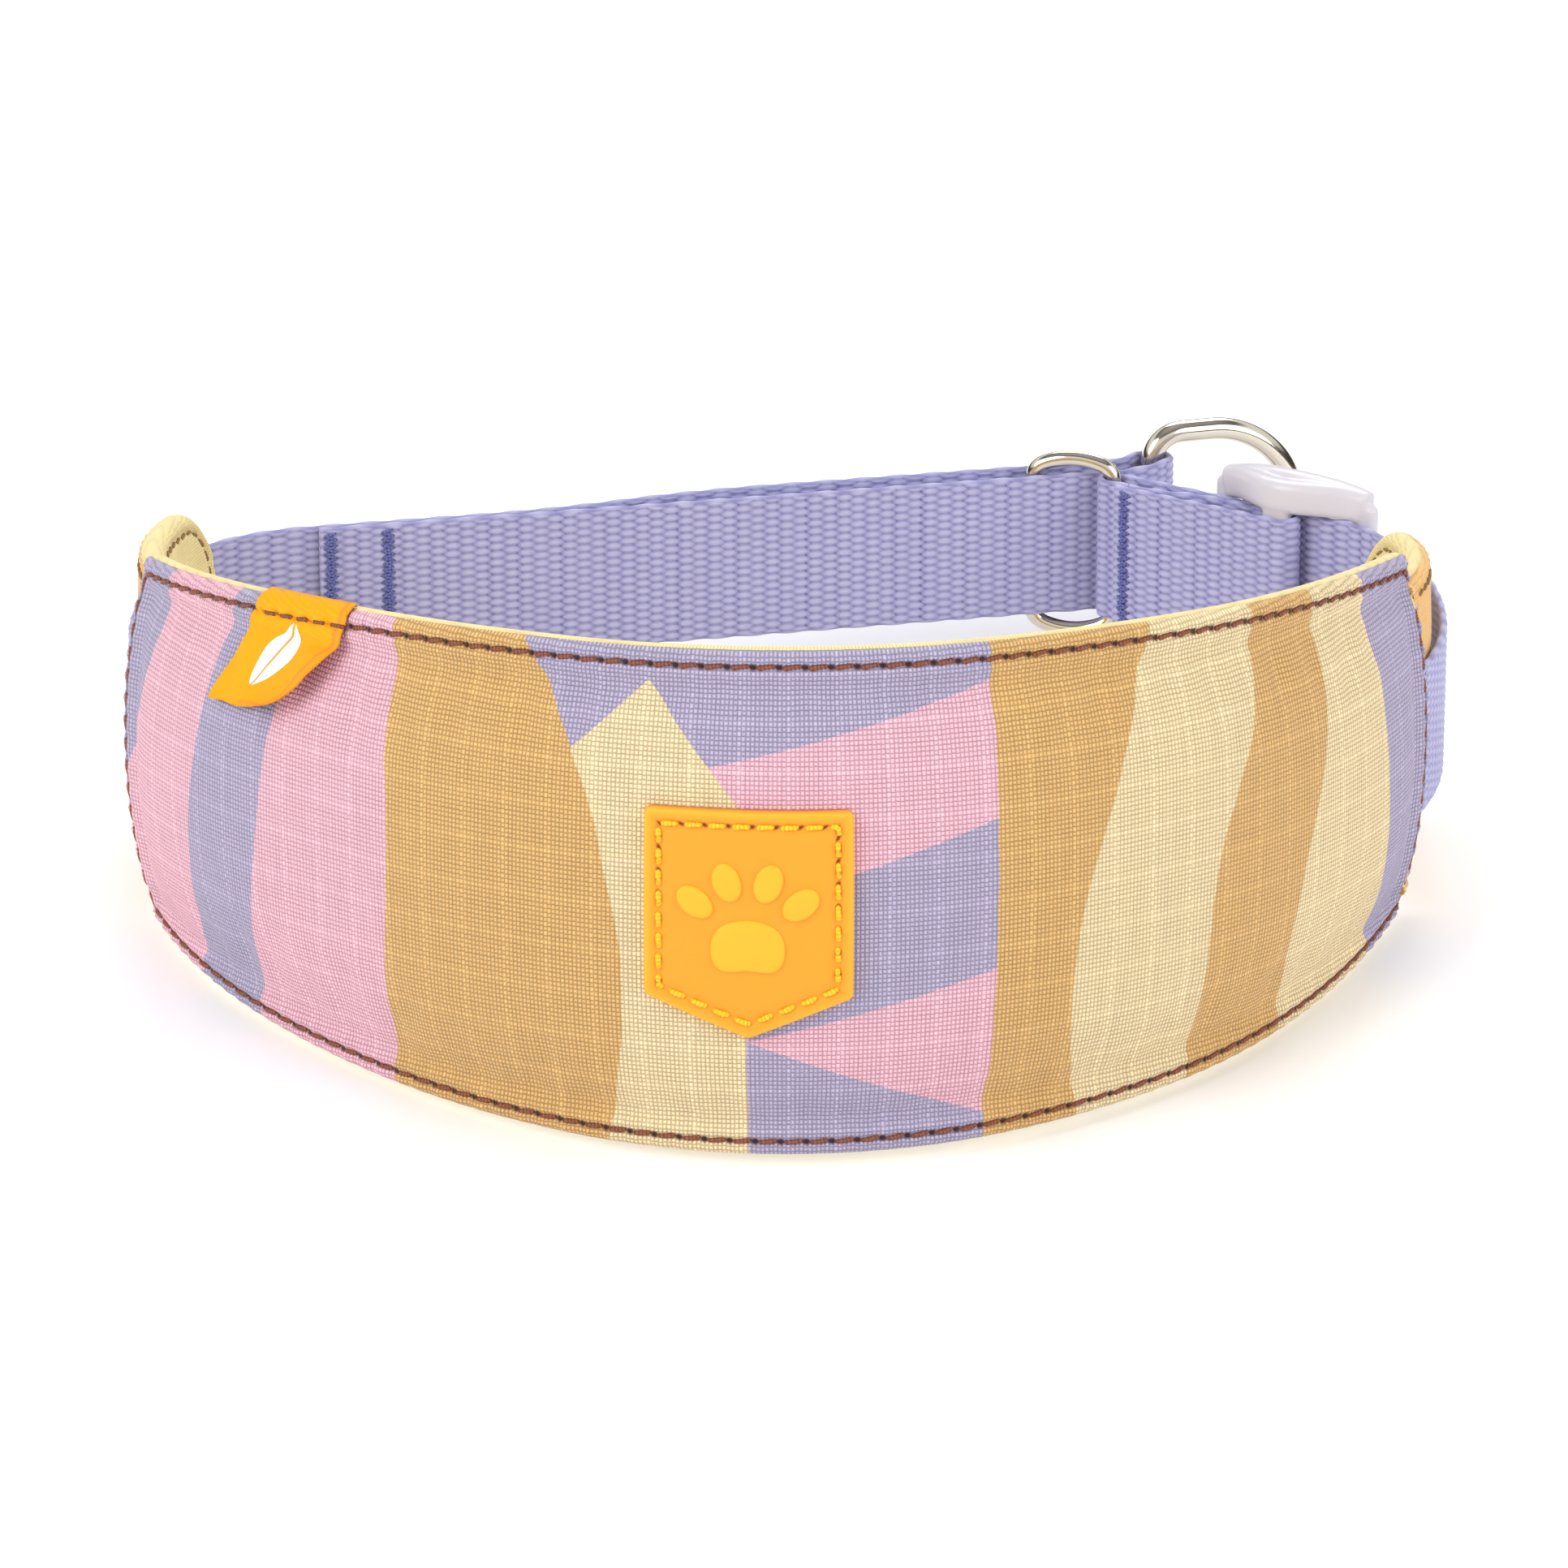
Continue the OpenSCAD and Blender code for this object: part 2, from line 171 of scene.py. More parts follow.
def grid_quads(rows, cols, wrap=False):
    i = np.arange(rows - 1)[:, None]
    j = np.arange(cols if wrap else cols - 1)[None, :]
    k = (j + 1) % cols
    return np.stack([i * cols + j, i * cols + k, (i + 1) * cols + k, (i + 1) * cols + j], -1).reshape(-1, 4)


def build(name, points, faces, material, attributes=None):
    """A smooth mesh from loop-frame millimetres."""
    mesh = bpy.data.meshes.new(name)
    mesh.from_pydata(to_row(points).tolist(), [], [list(map(int, f)) for f in faces])
    mesh.polygons.foreach_set("use_smooth", np.ones(len(mesh.polygons), bool))
    for key, values in (attributes or {}).items():
        layer = mesh.attributes.new(key, "FLOAT", "POINT")
        layer.data.foreach_set("value", np.asarray(values, np.float32).ravel())
    mesh.materials.append(material)
    mesh.update()
    obj = bpy.data.objects.new(name, mesh)
    bpy.context.scene.collection.objects.link(obj)
    return obj


def fit(obj, body, slot, *nodes):
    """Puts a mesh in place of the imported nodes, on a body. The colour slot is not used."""
    if nodes:
        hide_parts(*nodes)
    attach(obj, body)


def extract(points, quads, attributes):
    used, faces = np.unique(quads, return_inverse=True)
    faces = faces.reshape(-1, 4)
    return points[used], faces, {k: np.asarray(v).ravel()[used] for k, v in attributes.items()}


def apply_modifiers(obj):
    graph = bpy.context.evaluated_depsgraph_get()
    mesh = bpy.data.meshes.new_from_object(obj.evaluated_get(graph), preserve_all_data_layers=True,
                                           depsgraph=graph)
    obj.modifiers.clear()
    obj.data = mesh
    return obj


def hash01(*keys):
    """A steady value in 0..1 for each set of whole numbers."""
    total = sum(np.asarray(k, float) * f for k, f in zip(keys, (12.9898, 78.233, 37.719)))
    return np.modf(np.abs(np.sin(total) * 43758.5453))[0]


def smooth01(x):
    x = np.clip(x, 0, 1)
    return x * x * (3 - 2 * x)


def unit(vectors):
    return vectors / np.linalg.norm(vectors, axis=-1, keepdims=True)


def distances(points):
    """How far along a line of points each one lies."""
    return np.concatenate([[0], np.cumsum(np.linalg.norm(np.diff(points, axis=0), axis=1))])


def closed_faces(rows, sides, first=0):
    """Outward faces of rows of points that turn left about their line, with a flat face at each end."""
    low = list(range(first, first + sides))
    high = [k + (rows - 1) * sides for k in low]
    return (grid_quads(rows, sides, wrap=True) + first).tolist() + [low[::-1], high]


def tubes(name, lines, material, radius, sides=10, lobes=0.24, twist=1.6):
    """Closed tubes along 3-D lines in loop-frame millimetres, two-ply where lobes is above 0."""
    verts, faces, runs = [], [], []
    angle = np.arange(sides) * 2 * math.pi / sides
    for line in lines:
        line = np.asarray(line, float)
        tangent = unit(np.gradient(line, axis=0))
        upright = abs(tangent[:, 2]).mean() > 0.8
        a = unit(np.cross(tangent, [0.3, 1.0, 0.0] if upright else [0.0, 0.0, 1.0]))
        b = np.cross(tangent, a)
        run = distances(line)
        r = radius * (1 - lobes + lobes * np.abs(np.cos(angle - run[:, None] * twist)))
        r[[0, -1]] *= 0.45
        ring = line[:, None] + r[..., None] * (np.cos(angle)[None, :, None] * a[:, None]
                                               + np.sin(angle)[None, :, None] * b[:, None])
        faces += closed_faces(len(line), sides, sum(len(v) for v in verts))
        verts.append(ring.reshape(-1, 3))
        runs.append(np.repeat(run, sides))
    return build(name, np.concatenate(verts), faces, material, {"run": np.concatenate(runs)})


# ---- Node materials ----


def linear(r, g, b):
    def one(v):
        v /= 255
        return v / 12.92 if v <= 0.04045 else ((v + 0.055) / 1.055) ** 2.4

    return (one(r), one(g), one(b), 1.0)


class Value:
    """A number on its way through a node tree, with the arithmetic of a plain number."""

    def __init__(self, nodes, socket):
        self.nodes, self.socket = nodes, socket

    def __add__(self, other):
        return self.nodes.math("ADD", self, other)

    def __sub__(self, other):
        return self.nodes.math("SUBTRACT", self, other)

    def __rsub__(self, other):
        return self.nodes.math("SUBTRACT", other, self)

    def __mul__(self, other):
        return self.nodes.math("MULTIPLY", self, other)

    def __truediv__(self, other):
        return self.nodes.math("DIVIDE", self, other)

    def __pow__(self, power):
        return self.nodes.math("POWER", self, power)


class Nodes:
    """Adds nodes to a node tree."""

    def __init__(self, tree):
        self.tree = tree

    def put(self, socket, value):
        if isinstance(value, Value):
            self.tree.links.new(value.socket, socket)
        else:
            socket.default_value = value

    def node(self, kind, inputs, output=0, **settings):
        """Adds a node, fills its inputs by name or number and gives one of its outputs."""
        node = self.tree.nodes.new("ShaderNode" + kind)
        for key, value in settings.items():
            setattr(node, key, value)
        for key, value in inputs.items():
            self.put(node.inputs[key], value)
        return Value(self, node.outputs[output])

    def math(self, operation, *values, clamp=False):
        return self.node("Math", dict(enumerate(values)), operation=operation, use_clamp=clamp)


# The print's curves are drawn in a square that reaches this far either way
PRINT_REACH = 120.0


class Shade(Nodes):
    """A small builder for materials."""

    def __init__(self, name, **inputs):
        self.mat = bpy.data.materials.new(name)
        self.mat.use_nodes = True
        super().__init__(self.mat.node_tree)
        for key, value in inputs.items():
            self.set(key.replace("_", " "), value)

    def set(self, key, value):
        self.put(self.tree.nodes["Principled BSDF"].inputs[key], value)

    def attr(self, name):
        return self.node("Attribute", {}, "Fac", attribute_name=name)

    def mix(self, fac, a, b, mode="MIX"):
        return self.node("Mix", {0: fac, 6: a, 7: b}, 2, data_type="RGBA", blend_type=mode)

    def noise(self, scale, detail=3.0, vector=None):
        vector = vector or self.node("TexCoord", {}, "Object")
        return self.node("TexNoise", {"Vector": vector, "Scale": scale, "Detail": detail}, "Fac")

    def vector(self, x, y, z=0.0):
        return self.node("CombineXYZ", {0: x, 1: y, 2: z})

    def shaded(self, colour, shade):
        """The colour times a grey."""
        return self.mix(1.0, colour, self.vector(shade, shade, shade), "MULTIPLY")

    def above(self, value, edge, soft=0.12):
        """0 where value is below edge, 1 above it."""
        return self.math("MULTIPLY_ADD", value - edge, 0.5 / soft, 0.5, clamp=True)

    def wave(self, value, pitch):
        """|sin| with one hump for each pitch."""
        return self.math("ABSOLUTE", self.math("SINE", value * (math.pi / pitch)))

    def curve(self, value, points):
        """A smooth curve through (value, result) points."""
        node = self.tree.nodes.new("ShaderNodeFloatCurve")
        track = node.mapping.curves[0]
        spots = [((v / PRINT_REACH + 1) / 2, (r / PRINT_REACH + 1) / 2) for v, r in points]
        track.points[0].location, track.points[1].location = spots[0], spots[-1]
        for spot in spots[1:-1]:
            track.points.new(*spot)
        node.mapping.update()
        self.put(node.inputs["Value"], value * (0.5 / PRINT_REACH) + 0.5)
        return Value(self, node.outputs[0]) * (2 * PRINT_REACH) - PRINT_REACH

    def bump(self, height, distance, strength):
        self.set("Normal", self.node("Bump", {"Height": height, "Distance": distance, "Strength": strength}))


def plain_weave(m, s, z, warp, weft):
    """Thread height 0..1 of a plain weave, and which of its two threads is on top."""
    crown_s, crown_z = m.wave(s, warp), m.wave(z, weft)
    top = m.math("PINGPONG", m.math("FLOOR", s / warp) + m.math("FLOOR", z / weft), 1.0)
    over, under = crown_s * crown_z ** 0.5, crown_z * crown_s ** 0.5
    return over * top + under * (1.0 - top), top


PITCH, BADGE_PITCH = 3.1, 2.9


def needle_hole_shade(m, pitch, reach=0.5):
    """1 in the needle holes, which are darkened to paint the shade in them: off is the distance from the
    stitch line and run counts stitches along it.
    """
    beside = (m.math("FRACT", m.attr("run") + 0.5) - 0.5) * pitch
    off = m.attr("off") * 1.15
    return 1.0 - m.above((beside * beside + off * off) ** 0.5, reach, 0.2)


PINK, LILAC = linear(233, 178, 192), linear(172, 163, 190)
TAN, CREAM = linear(213, 169, 106), linear(233, 208, 163)

# Each stripe takes over to the right of an edge through (height, distance along the panel) points
LEFT_STRIPES = (
    (PINK, [(-36, -119.5), (-12, -119), (2, -112.5), (10, -107.5), (26, -102), (36, -98)]),
    (LILAC, [(-36, -95.5), (-25, -94.5), (-12, -92.5), (0, -91), (27, -83.5), (36, -79)]),
    (PINK, [(-36, -81), (-26, -79.5), (-8, -76), (17, -71.5), (36, -67)]),
    (TAN, [(-36, -54), (-30, -53.5), (-20, -52.5), (7, -51), (30, -52.5), (36, -53)]),
)
MOTIF_EDGE = [(-36, -23), (-30, -21.5), (-11, -19), (2, -20.5), (20, -25.5), (31, -32), (36, -36)]
RIGHT_STRIPES = (
    (TAN, [(-36, 24.5), (0, 24.6), (36, 25)]),
    (CREAM, [(-36, 39), (-31, 37.5), (-11, 35), (13, 41), (31, 48), (36, 50)]),
    (TAN, [(-36, 55), (-27, 55), (1, 57), (20, 64), (30, 65), (36, 65)]),
    (CREAM, [(-36, 73), (-25, 72), (-16, 71), (15, 78), (30, 77.5), (36, 77)]),
    (LILAC, [(-36, 94), (-23, 94.5), (9, 93.5), (28, 90), (36, 88)]),
)


def middle_motif(m, s, wavy_s, z):
    """Lilac, then two pink wedges, then a cream peak that runs down into a column behind the badge."""

    def above_line(z0, s0, rise):
        return m.above(z, (s - s0) * rise + z0)

    motif = m.mix(above_line(18.8, -9.0, 0.27), PINK, LILAC)
    motif = m.mix(above_line(5.4, 7.5, 0.33), LILAC, motif)
    motif = m.mix(above_line(-16.6, -4.0, 0.28), PINK, motif)
    motif = m.mix(above_line(-17.0, -4.0, -0.42), LILAC, motif)
    off_peak = m.math("MAXIMUM", above_line(29.0, -16.5, 1.02), above_line(29.0, -16.5, -1.36))
    high = m.above(z, 6.0)
    column = (1.0 - m.above(wavy_s, -4.6)) * (1.0 - high)
    return m.mix(m.math("MAXIMUM", column, (1.0 - off_peak) * high), motif, CREAM)


def printed_canvas():
    m = Shade("printed_canvas", Roughness=0.82, Sheen_Weight=0.15, Specular_IOR_Level=0.25)
    s, z, print_s = m.attr("s"), m.attr("z"), m.attr("print_s")
    wavy_s = print_s + (m.noise(260.0, 1.0) - 0.5) * 0.5
    colour = LILAC
    middle = ((middle_motif(m, print_s, wavy_s, z), MOTIF_EDGE),)
    for takes_over, edge in LEFT_STRIPES + middle + RIGHT_STRIPES:
        colour = m.mix(m.above(wavy_s, m.curve(z, edge)), colour, takes_over)

    height, top = plain_weave(m, s, z, 0.52, 0.6)
    slub_s = m.noise(1.0, 2.0, m.vector(s * 1.9, z * 0.09))
    slub_z = m.noise(1.0, 2.0, m.vector(s * 0.09, z * 1.7))
    rip_s = m.math("LESS_THAN", m.math("FRACT", s / 5.72), 0.13)
    rip_z = m.math("LESS_THAN", m.math("FRACT", z / 6.0), 0.12)
    rip = m.math("MAXIMUM", rip_s * top, rip_z * (1.0 - top))
    # The thread height paints shade between the threads; the ripstop lines and slubs are the cloth's own
    # tone.
    shade = height * 0.62 + 0.56 + rip * 0.16 + (slub_s - 0.5) * 0.22 + (slub_z - 0.5) * 0.18
    colour = m.shaded(colour, shade + top * 0.05 - 0.02)
    # The needle holes are painted dark as shade.
    m.set("Base Color", m.mix(needle_hole_shade(m, PITCH), colour, linear(70, 32, 24)))
    m.bump(height + rip * 0.5 + m.noise(9000.0, 2.0) * 0.2, 0.00022, 0.9)
    return m.mat


def plain_cloth(name, colour, pitch):
    m = Shade(name, Roughness=0.85, Sheen_Weight=0.2, Specular_IOR_Level=0.2)
    height, _ = plain_weave(m, m.attr("s"), m.attr("z"), pitch, pitch * 1.1)
    # The thread height paints shade between the threads; the noise is the cloth's own tone.
    m.set("Base Color", m.shaded(colour, height * 0.3 + 0.78 + (m.noise(140.0) - 0.5) * 0.22))
    m.bump(height + m.noise(5000.0, 2.0) * 0.3, 0.00012, 0.8)
    return m.mat


def webbing_material():
    m = Shade("webbing", Roughness=0.62, Sheen_Weight=0.25, Specular_IOR_Level=0.35)
    lift = m.attr("lift")
    fibre = m.noise(1.0, 3.0, m.vector(m.attr("s") * 1.3, m.attr("z") * 9.0))
    # Painted shade and highlight: dark in the valleys between floats, light on the floats, and a lighter
    # painted highlight on their crowns, broken by the fibre noise. The patches are the webbing's own tone.
    valley_shade = m.mix(lift ** 0.8, linear(90, 88, 150), linear(162, 160, 200))
    crown_highlight = m.mix(lift ** 3.0 * (fibre * 0.9), valley_shade, linear(194, 192, 220))
    patch = m.math("MULTIPLY_ADD", m.noise(70.0, 2.0), 0.3, -0.08, clamp=True)
    m.set("Base Color", m.mix(patch, crown_highlight, linear(128, 124, 178)))
    m.bump(fibre, 0.00012, 0.8)
    return m.mat


def thread_material(name, light, dark):
    m = Shade(name, Roughness=0.5, Specular_IOR_Level=0.4)
    ply, fibre = m.wave(m.attr("run"), 0.45), m.noise(3500.0)
    # The ply humps are lighter and the grooves between them darker: painted shade along the twist.
    m.set("Base Color", m.mix(ply * fibre, dark, light))
    m.bump(ply + fibre, 0.00008, 0.7)
    return m.mat


def metal_material():
    m = Shade("ring_metal", Metallic=1.0)
    patch = m.noise(90.0, 4.0)
    m.set("Base Color", m.mix(patch, linear(226, 218, 204), linear(206, 196, 180)))
    m.set("Roughness", patch * 0.12 + 0.07)
    m.bump(m.noise(260.0) * 0.5 + m.noise(4200.0, 2.0) * 0.06, 0.00004, 0.5)
    return m.mat


def plastic_material():
    m = Shade("slider_plastic", Subsurface_Weight=0.12, Subsurface_Scale=0.0012, IOR=1.46)
    cloud = m.noise(120.0)
    m.set("Base Color", m.mix(cloud, linear(204, 200, 206), linear(194, 190, 199)))
    m.set("Roughness", cloud * 0.12 + 0.24)
    m.bump(m.noise(2600.0, 2.0), 0.00003, 0.4)
    return m.mat


def rubber_material():
    m = Shade("badge_rubber", Subsurface_Weight=0.1, Subsurface_Scale=0.001, Specular_IOR_Level=0.3)
    cloud = m.noise(160.0)
    # The lighter rim tone paints a highlight on the badge's raised lip; the paw takes the lighter tone all
    # over.
    base = m.mix(m.attr("rim"), linear(238, 152, 36), linear(250, 176, 40))
    base = m.mix(cloud * 0.25, base, linear(230, 146, 44))
    # The needle holes are painted dark as shade.
    m.set("Base Color", m.mix(needle_hole_shade(m, BADGE_PITCH, 0.34), base, linear(120, 40, 10)))
    m.set("Roughness", cloud * 0.15 + 0.42)
    m.bump(m.noise(2400.0), 0.00005, 0.6)
    return m.mat


def ribbon_material():
    m = Shade("tag_ribbon", Roughness=0.7, Specular_IOR_Level=0.2)
    height, _ = plain_weave(m, m.attr("s"), m.attr("z"), 0.28, 0.3)
    base = m.mix(m.attr("rim"), linear(248, 162, 8), linear(216, 112, 62))
    # The thread height paints shade between the threads.
    m.set("Base Color", m.shaded(base, height * 0.16 + 0.88))
    m.bump(height, 0.00006, 0.7)
    return m.mat


def ink_material():
    m = Shade("tag_print", Roughness=0.6)
    grain = m.noise(2600.0)
    m.set("Base Color", m.mix(grain, linear(252, 250, 246), linear(238, 230, 220)))
    m.bump(grain, 0.00004, 0.6)
    return m.mat


CANVAS = printed_canvas()
LINING = plain_cloth("lining", linear(232, 211, 148), 0.42)
TONGUE = plain_cloth("tongue_canvas", linear(226, 176, 104), 0.45)
WEBBING = webbing_material()
BROWN = thread_material("topstitch_thread", linear(160, 98, 68), linear(96, 44, 30))
GOLD = thread_material("badge_thread", linear(255, 226, 44), linear(222, 160, 8))
KHAKI = thread_material("tongue_thread", linear(170, 132, 74), linear(112, 82, 44))
BLUE = thread_material("webbing_thread", linear(118, 124, 186), linear(66, 72, 136))
METAL = metal_material()
PLASTIC = plastic_material()
RUBBER = rubber_material()
RIBBON = ribbon_material()
INK = ink_material()


# ---- Padded pieces: a cover sheet and a lining sheet that meet at the edge ----


class Sheet:
    """A grid of points with stations s and heights z, for laying things on it."""

    def __init__(self, s, z, points, side):
        self.s, self.z, self.p = s, z, points
        normal = np.cross(np.gradient(points, axis=0), np.gradient(points, axis=1))
        length = np.linalg.norm(normal, axis=2, keepdims=True)
        normal = normal / np.maximum(length, 1e-9)
        middle = normal[len(s) // 2, z.shape[1] // 2]
        outward = points[len(s) // 2, z.shape[1] // 2] - np.array([MID_X, 30, 0])
        self.n = normal * (1 if (middle @ outward) * side > 0 else -1)

    def at(self, s, z, lift=0.0):
        i = int(np.clip(np.searchsorted(self.s, s) - 1, 0, len(self.s) - 2))
        f = (s - self.s[i]) / (self.s[i + 1] - self.s[i])
        out = []
        for row in (i, i + 1):
            j = np.interp(z, self.z[row], np.arange(self.z.shape[1]))
            k = int(min(j, self.z.shape[1] - 2))
            g = j - k
            out.append(((1 - g) * self.p[row, k] + g * self.p[row, k + 1],
                        (1 - g) * self.n[row, k] + g * self.n[row, k + 1]))
        point = (1 - f) * out[0][0] + f * out[1][0]
        normal = (1 - f) * out[0][1] + f * out[1][1]
        return point + lift * normal / np.linalg.norm(normal)


# Distances from the edge of the rows that are packed close to it
EDGE_STEPS = np.array([0, 0.12, 0.35, 0.7, 1.1, 1.5, 1.8, 2.1, 2.5, 3.0, 3.6, 4.3])


def rim_rows(half, count):
    """Heights from -half to half with the rows packed close to both edges. half may be an array."""
    half = np.asarray(half, float)
    inner = half - EDGE_STEPS[-1]
    centre = inner[..., None] * np.linspace(-1, 1, count)
    low = -half[..., None] + EDGE_STEPS[:-1]
    high = half[..., None] - EDGE_STEPS[:-1][::-1]
    return np.concatenate([low, centre, high], -1)


def back_index(rows, cols):
    """For each point of the outer grid the point behind it, which on the shared border is itself."""
    i, j = np.meshgrid(np.arange(rows), np.arange(cols), indexing="ij")
    border = (i == 0) | (j == 0) | (i == rows - 1) | (j == cols - 1)
    return np.where(border, i * cols + j, i * cols + j + rows * cols).ravel()


CLOTH_THICK, WRAP_ROWS = 0.35, 3


def padded(names, z, outer, inner, attributes, take=1, take_end=0, mirror=False):
    """The cover and the lining of a padded piece, from two grids that share their border.

    The lining takes the outermost rows of the outer grid along the long edges, and take_end rows at its far
    end; elsewhere the cover turns in over WRAP_ROWS rows at the ends."""
    rows, cols = z.shape
    points = np.concatenate([outer.reshape(-1, 3), inner.reshape(-1, 3)])
    values = {k: np.concatenate([v.ravel(), v.ravel()]) for k, v in attributes.items()}
    quads = grid_quads(rows, cols)
    flipped = quads[:, ::-1]
    front_quads = quads if mirror else flipped
    back_quads = back_index(rows, cols)[flipped if mirror else quads]
    cell_i, cell_j = quads[:, 0] // cols, quads[:, 0] % cols
    near_edge = np.minimum(cell_j, cols - 2 - cell_j)
    near_end = np.minimum(cell_i, rows - 2 - cell_i)
    given = (near_edge < take) | (rows - 2 - cell_i < take_end)
    turned = (near_end < WRAP_ROWS) & (near_edge >= take) & (take_end == 0)
    cover_faces = np.concatenate([front_quads[~given], back_quads[turned]])
    lining_faces = np.concatenate([back_quads[~turned], front_quads[given]])
    made = []
    for (name, material), faces in zip(names, (cover_faces, lining_faces)):
        pts, faces, vals = extract(points, faces, values)
        obj = build(name, pts, faces, material, vals)
        shell = obj.modifiers.new("shell", "SOLIDIFY")
        shell.thickness, shell.offset = CLOTH_THICK * MM, -1
        made.append(apply_modifiers(obj))
    return made


def run_stitches(name, sheet, route, material, pitch=PITCH, radius=0.3, gap=0.5, lift=0.12, slant=0.14):
    """Lays single stitches on a sheet along a route of (s, z) points."""
    route = np.array(route, float)
    steps = distances(route)

    def on_route(where):
        return np.array([np.interp(where, steps, route[:, 0]), np.interp(where, steps, route[:, 1])])

    count = max(1, round(steps[-1] / pitch))
    pitch = steps[-1] / count
    lines = []
    for n in range(count):
        line = []
        for u in np.linspace(-1, 1, 7):
            where = (n + 0.5) * pitch + u * (pitch - gap) / 2
            place = on_route(where)
            ahead = on_route(where + 0.3) - place
            if np.linalg.norm(ahead) < 1e-6:
                ahead = place - on_route(where - 0.3)
            across = unit(np.array([-ahead[1], ahead[0]]))
            place = place + across * (slant * u + 0.05 * (hash01(n, 3) - 0.5))
            line.append(sheet.at(*place, lift * (1 - u ** 4) - 0.42 * u ** 8))
        lines.append(line)
    return tubes(name, lines, material, radius)


def band_s(length, step):
    inner = length - EDGE_STEPS[-1]
    count = max(3, int(2 * inner / step))
    return np.concatenate([-length + EDGE_STEPS[:-1], np.linspace(-inner, inner, count),
                           length - EDGE_STEPS[:-1][::-1]])


def roll(d, r=1.7):
    """Quarter-round edge profile, 0 at the edge and 1 beyond r."""
    return np.sqrt(np.clip(1 - (1 - np.clip(d / r, 0, 1)) ** 2, 0, 1))


# ---- Printed panel ----

STITCH_INSET = 2.1


def groove(d, depth):
    return depth * np.exp(-((d - STITCH_INSET) / 0.55) ** 2)


def barrel(s, z, half, bow=1.2):
    """The ends of the panel bow outwards between their corners, a little more on the left."""
    end = smooth01((np.abs(s) - 55) / 50)
    corner = np.where(s < 0, 1.3, -1.5)
    return end * (corner + bow * (1 - np.clip(z / half, -1, 1) ** 2))


def panel_offsets(s, z, half):
    """How far the outer and inner sheets stand out from the plan path."""
    d = np.maximum(np.minimum(half - np.abs(z), PANEL_LEN - np.abs(s)), 0)
    t = np.clip(np.abs(z) / (half - 2), 0, 1)
    from_long, from_end = np.maximum(half - np.abs(z), 0), np.maximum(PANEL_LEN - np.abs(s), 0)
    at_end = roll(from_end, 1.4) * (0.85 + 0.15 * smooth01((from_end - 1.6) / 5.0))
    crown = 2.6 * (1 - t ** 2.3) * smooth01((from_long - 1.6) / 5.0) * at_end
    edge = 0.5 + barrel(s, z, half)
    return d, edge + 1.9 * roll(d) + crown - groove(d, 0.55), edge - 2.2 * roll(d, 1.5) + groove(d, 0.3)


def catmull(values, old, new):
    """Smooth interpolation of the rows of values from evenly spaced old stations to new ones."""
    step = (old[-1] - old[0]) / (len(old) - 1)
    x = np.clip((new - old[0]) / step, 0, len(old) - 1 - 1e-6)
    i = x.astype(int)
    f = (x - i)[:, None]
    p = [values[np.clip(i + k, 0, len(old) - 1)] for k in (-1, 0, 1, 2)]
    return 0.5 * (2 * p[1] + (p[2] - p[0]) * f + (2 * p[0] - 5 * p[1] + 4 * p[2] - p[3]) * f ** 2
                  + (3 * p[1] - p[0] - 3 * p[2] + p[3]) * f ** 3)


# The coarse copy that is settled: its size, and how near the edge the stitching holds it
COARSE_ROWS, COARSE_COLS, HELD = 91, 27, 2.6
SETTLE_FRAMES, MOST_SETTLED, SETTLED_SHARE = 20, 1.3, 0.8


def settle(points, faces, held):
    """How far in metres Blender's cloth simulation moves points in the row frame, under a light pressure."""
    # Ten times life size keeps the solver's own tolerances small against the cloth
    scale = 10.0
    scene = bpy.context.scene
    mesh = bpy.data.meshes.new("settling")
    mesh.from_pydata((points * scale).tolist(), [], faces.tolist())
    obj = bpy.data.objects.new("settling", mesh)
    scene.collection.objects.link(obj)
    obj.vertex_groups.new(name="held").add(np.nonzero(held)[0].tolist(), 1.0, "REPLACE")
    cloth = obj.modifiers.new("cloth", "CLOTH").settings
    cloth.vertex_group_mass = "held"
    cloth.quality = 8
    cloth.mass = 0.4
    cloth.tension_stiffness = cloth.compression_stiffness = 12
    cloth.shear_stiffness = 4
    cloth.bending_stiffness = 0.35
    cloth.shrink_min = -0.035
    cloth.use_pressure = True
    cloth.uniform_pressure_force = 3.0
    cloth.effector_weights.gravity = 0
    for number in range(1, SETTLE_FRAMES + 1):
        scene.frame_set(number)
    result = obj.evaluated_get(bpy.context.evaluated_depsgraph_get()).data
    flat = np.zeros(len(points) * 3, np.float32)
    result.vertices.foreach_get("co", flat)
    moved = flat.reshape(-1, 3) / scale - points
    scene.frame_set(1)
    bpy.data.objects.remove(obj)
    return moved


def settled_panel():
    """Settles a coarse panel over its filling. Returns its stations, its heights as parts of the half height,
    and how far the outer sheet moved out from the mean."""
    s, part = np.linspace(-PANEL_LEN, PANEL_LEN, COARSE_ROWS), np.linspace(-1, 1, COARSE_COLS)
    half = panel_half_h(s)[:, None]
    z = half * part
    rows, cols = z.shape
    sg = np.broadcast_to(s[:, None], z.shape)
    d, out, inn = panel_offsets(sg, z, np.broadcast_to(half, z.shape))
    outer, inner = panel_place(sg, z, out), panel_place(sg, z, inn)
    points = to_row(np.concatenate([outer.reshape(-1, 3), inner.reshape(-1, 3)]))
    quads = grid_quads(rows, cols)
    faces = np.concatenate([quads[:, ::-1], back_index(rows, cols)[quads]])
    used, faces = np.unique(faces, return_inverse=True)
    near = np.tile(d.ravel(), 2)[used] < HELD
    shift = np.zeros((2 * rows * cols, 3))
    shift[used] = settle(points[used], faces.reshape(-1, 4), near) / MM
    out_dir = (to_row(panel_place(sg, z, out + 1)) - to_row(outer)) / MM
    lift = np.einsum("ik,ik->i", shift[:rows * cols], out_dir).reshape(rows, cols)
    print("cloth moved out by", float(lift.min()), "to", float(lift.max()), "mm")
    return s, part, np.clip(lift - lift.mean(), -MOST_SETTLED, MOST_SETTLED) * (d >= HELD)


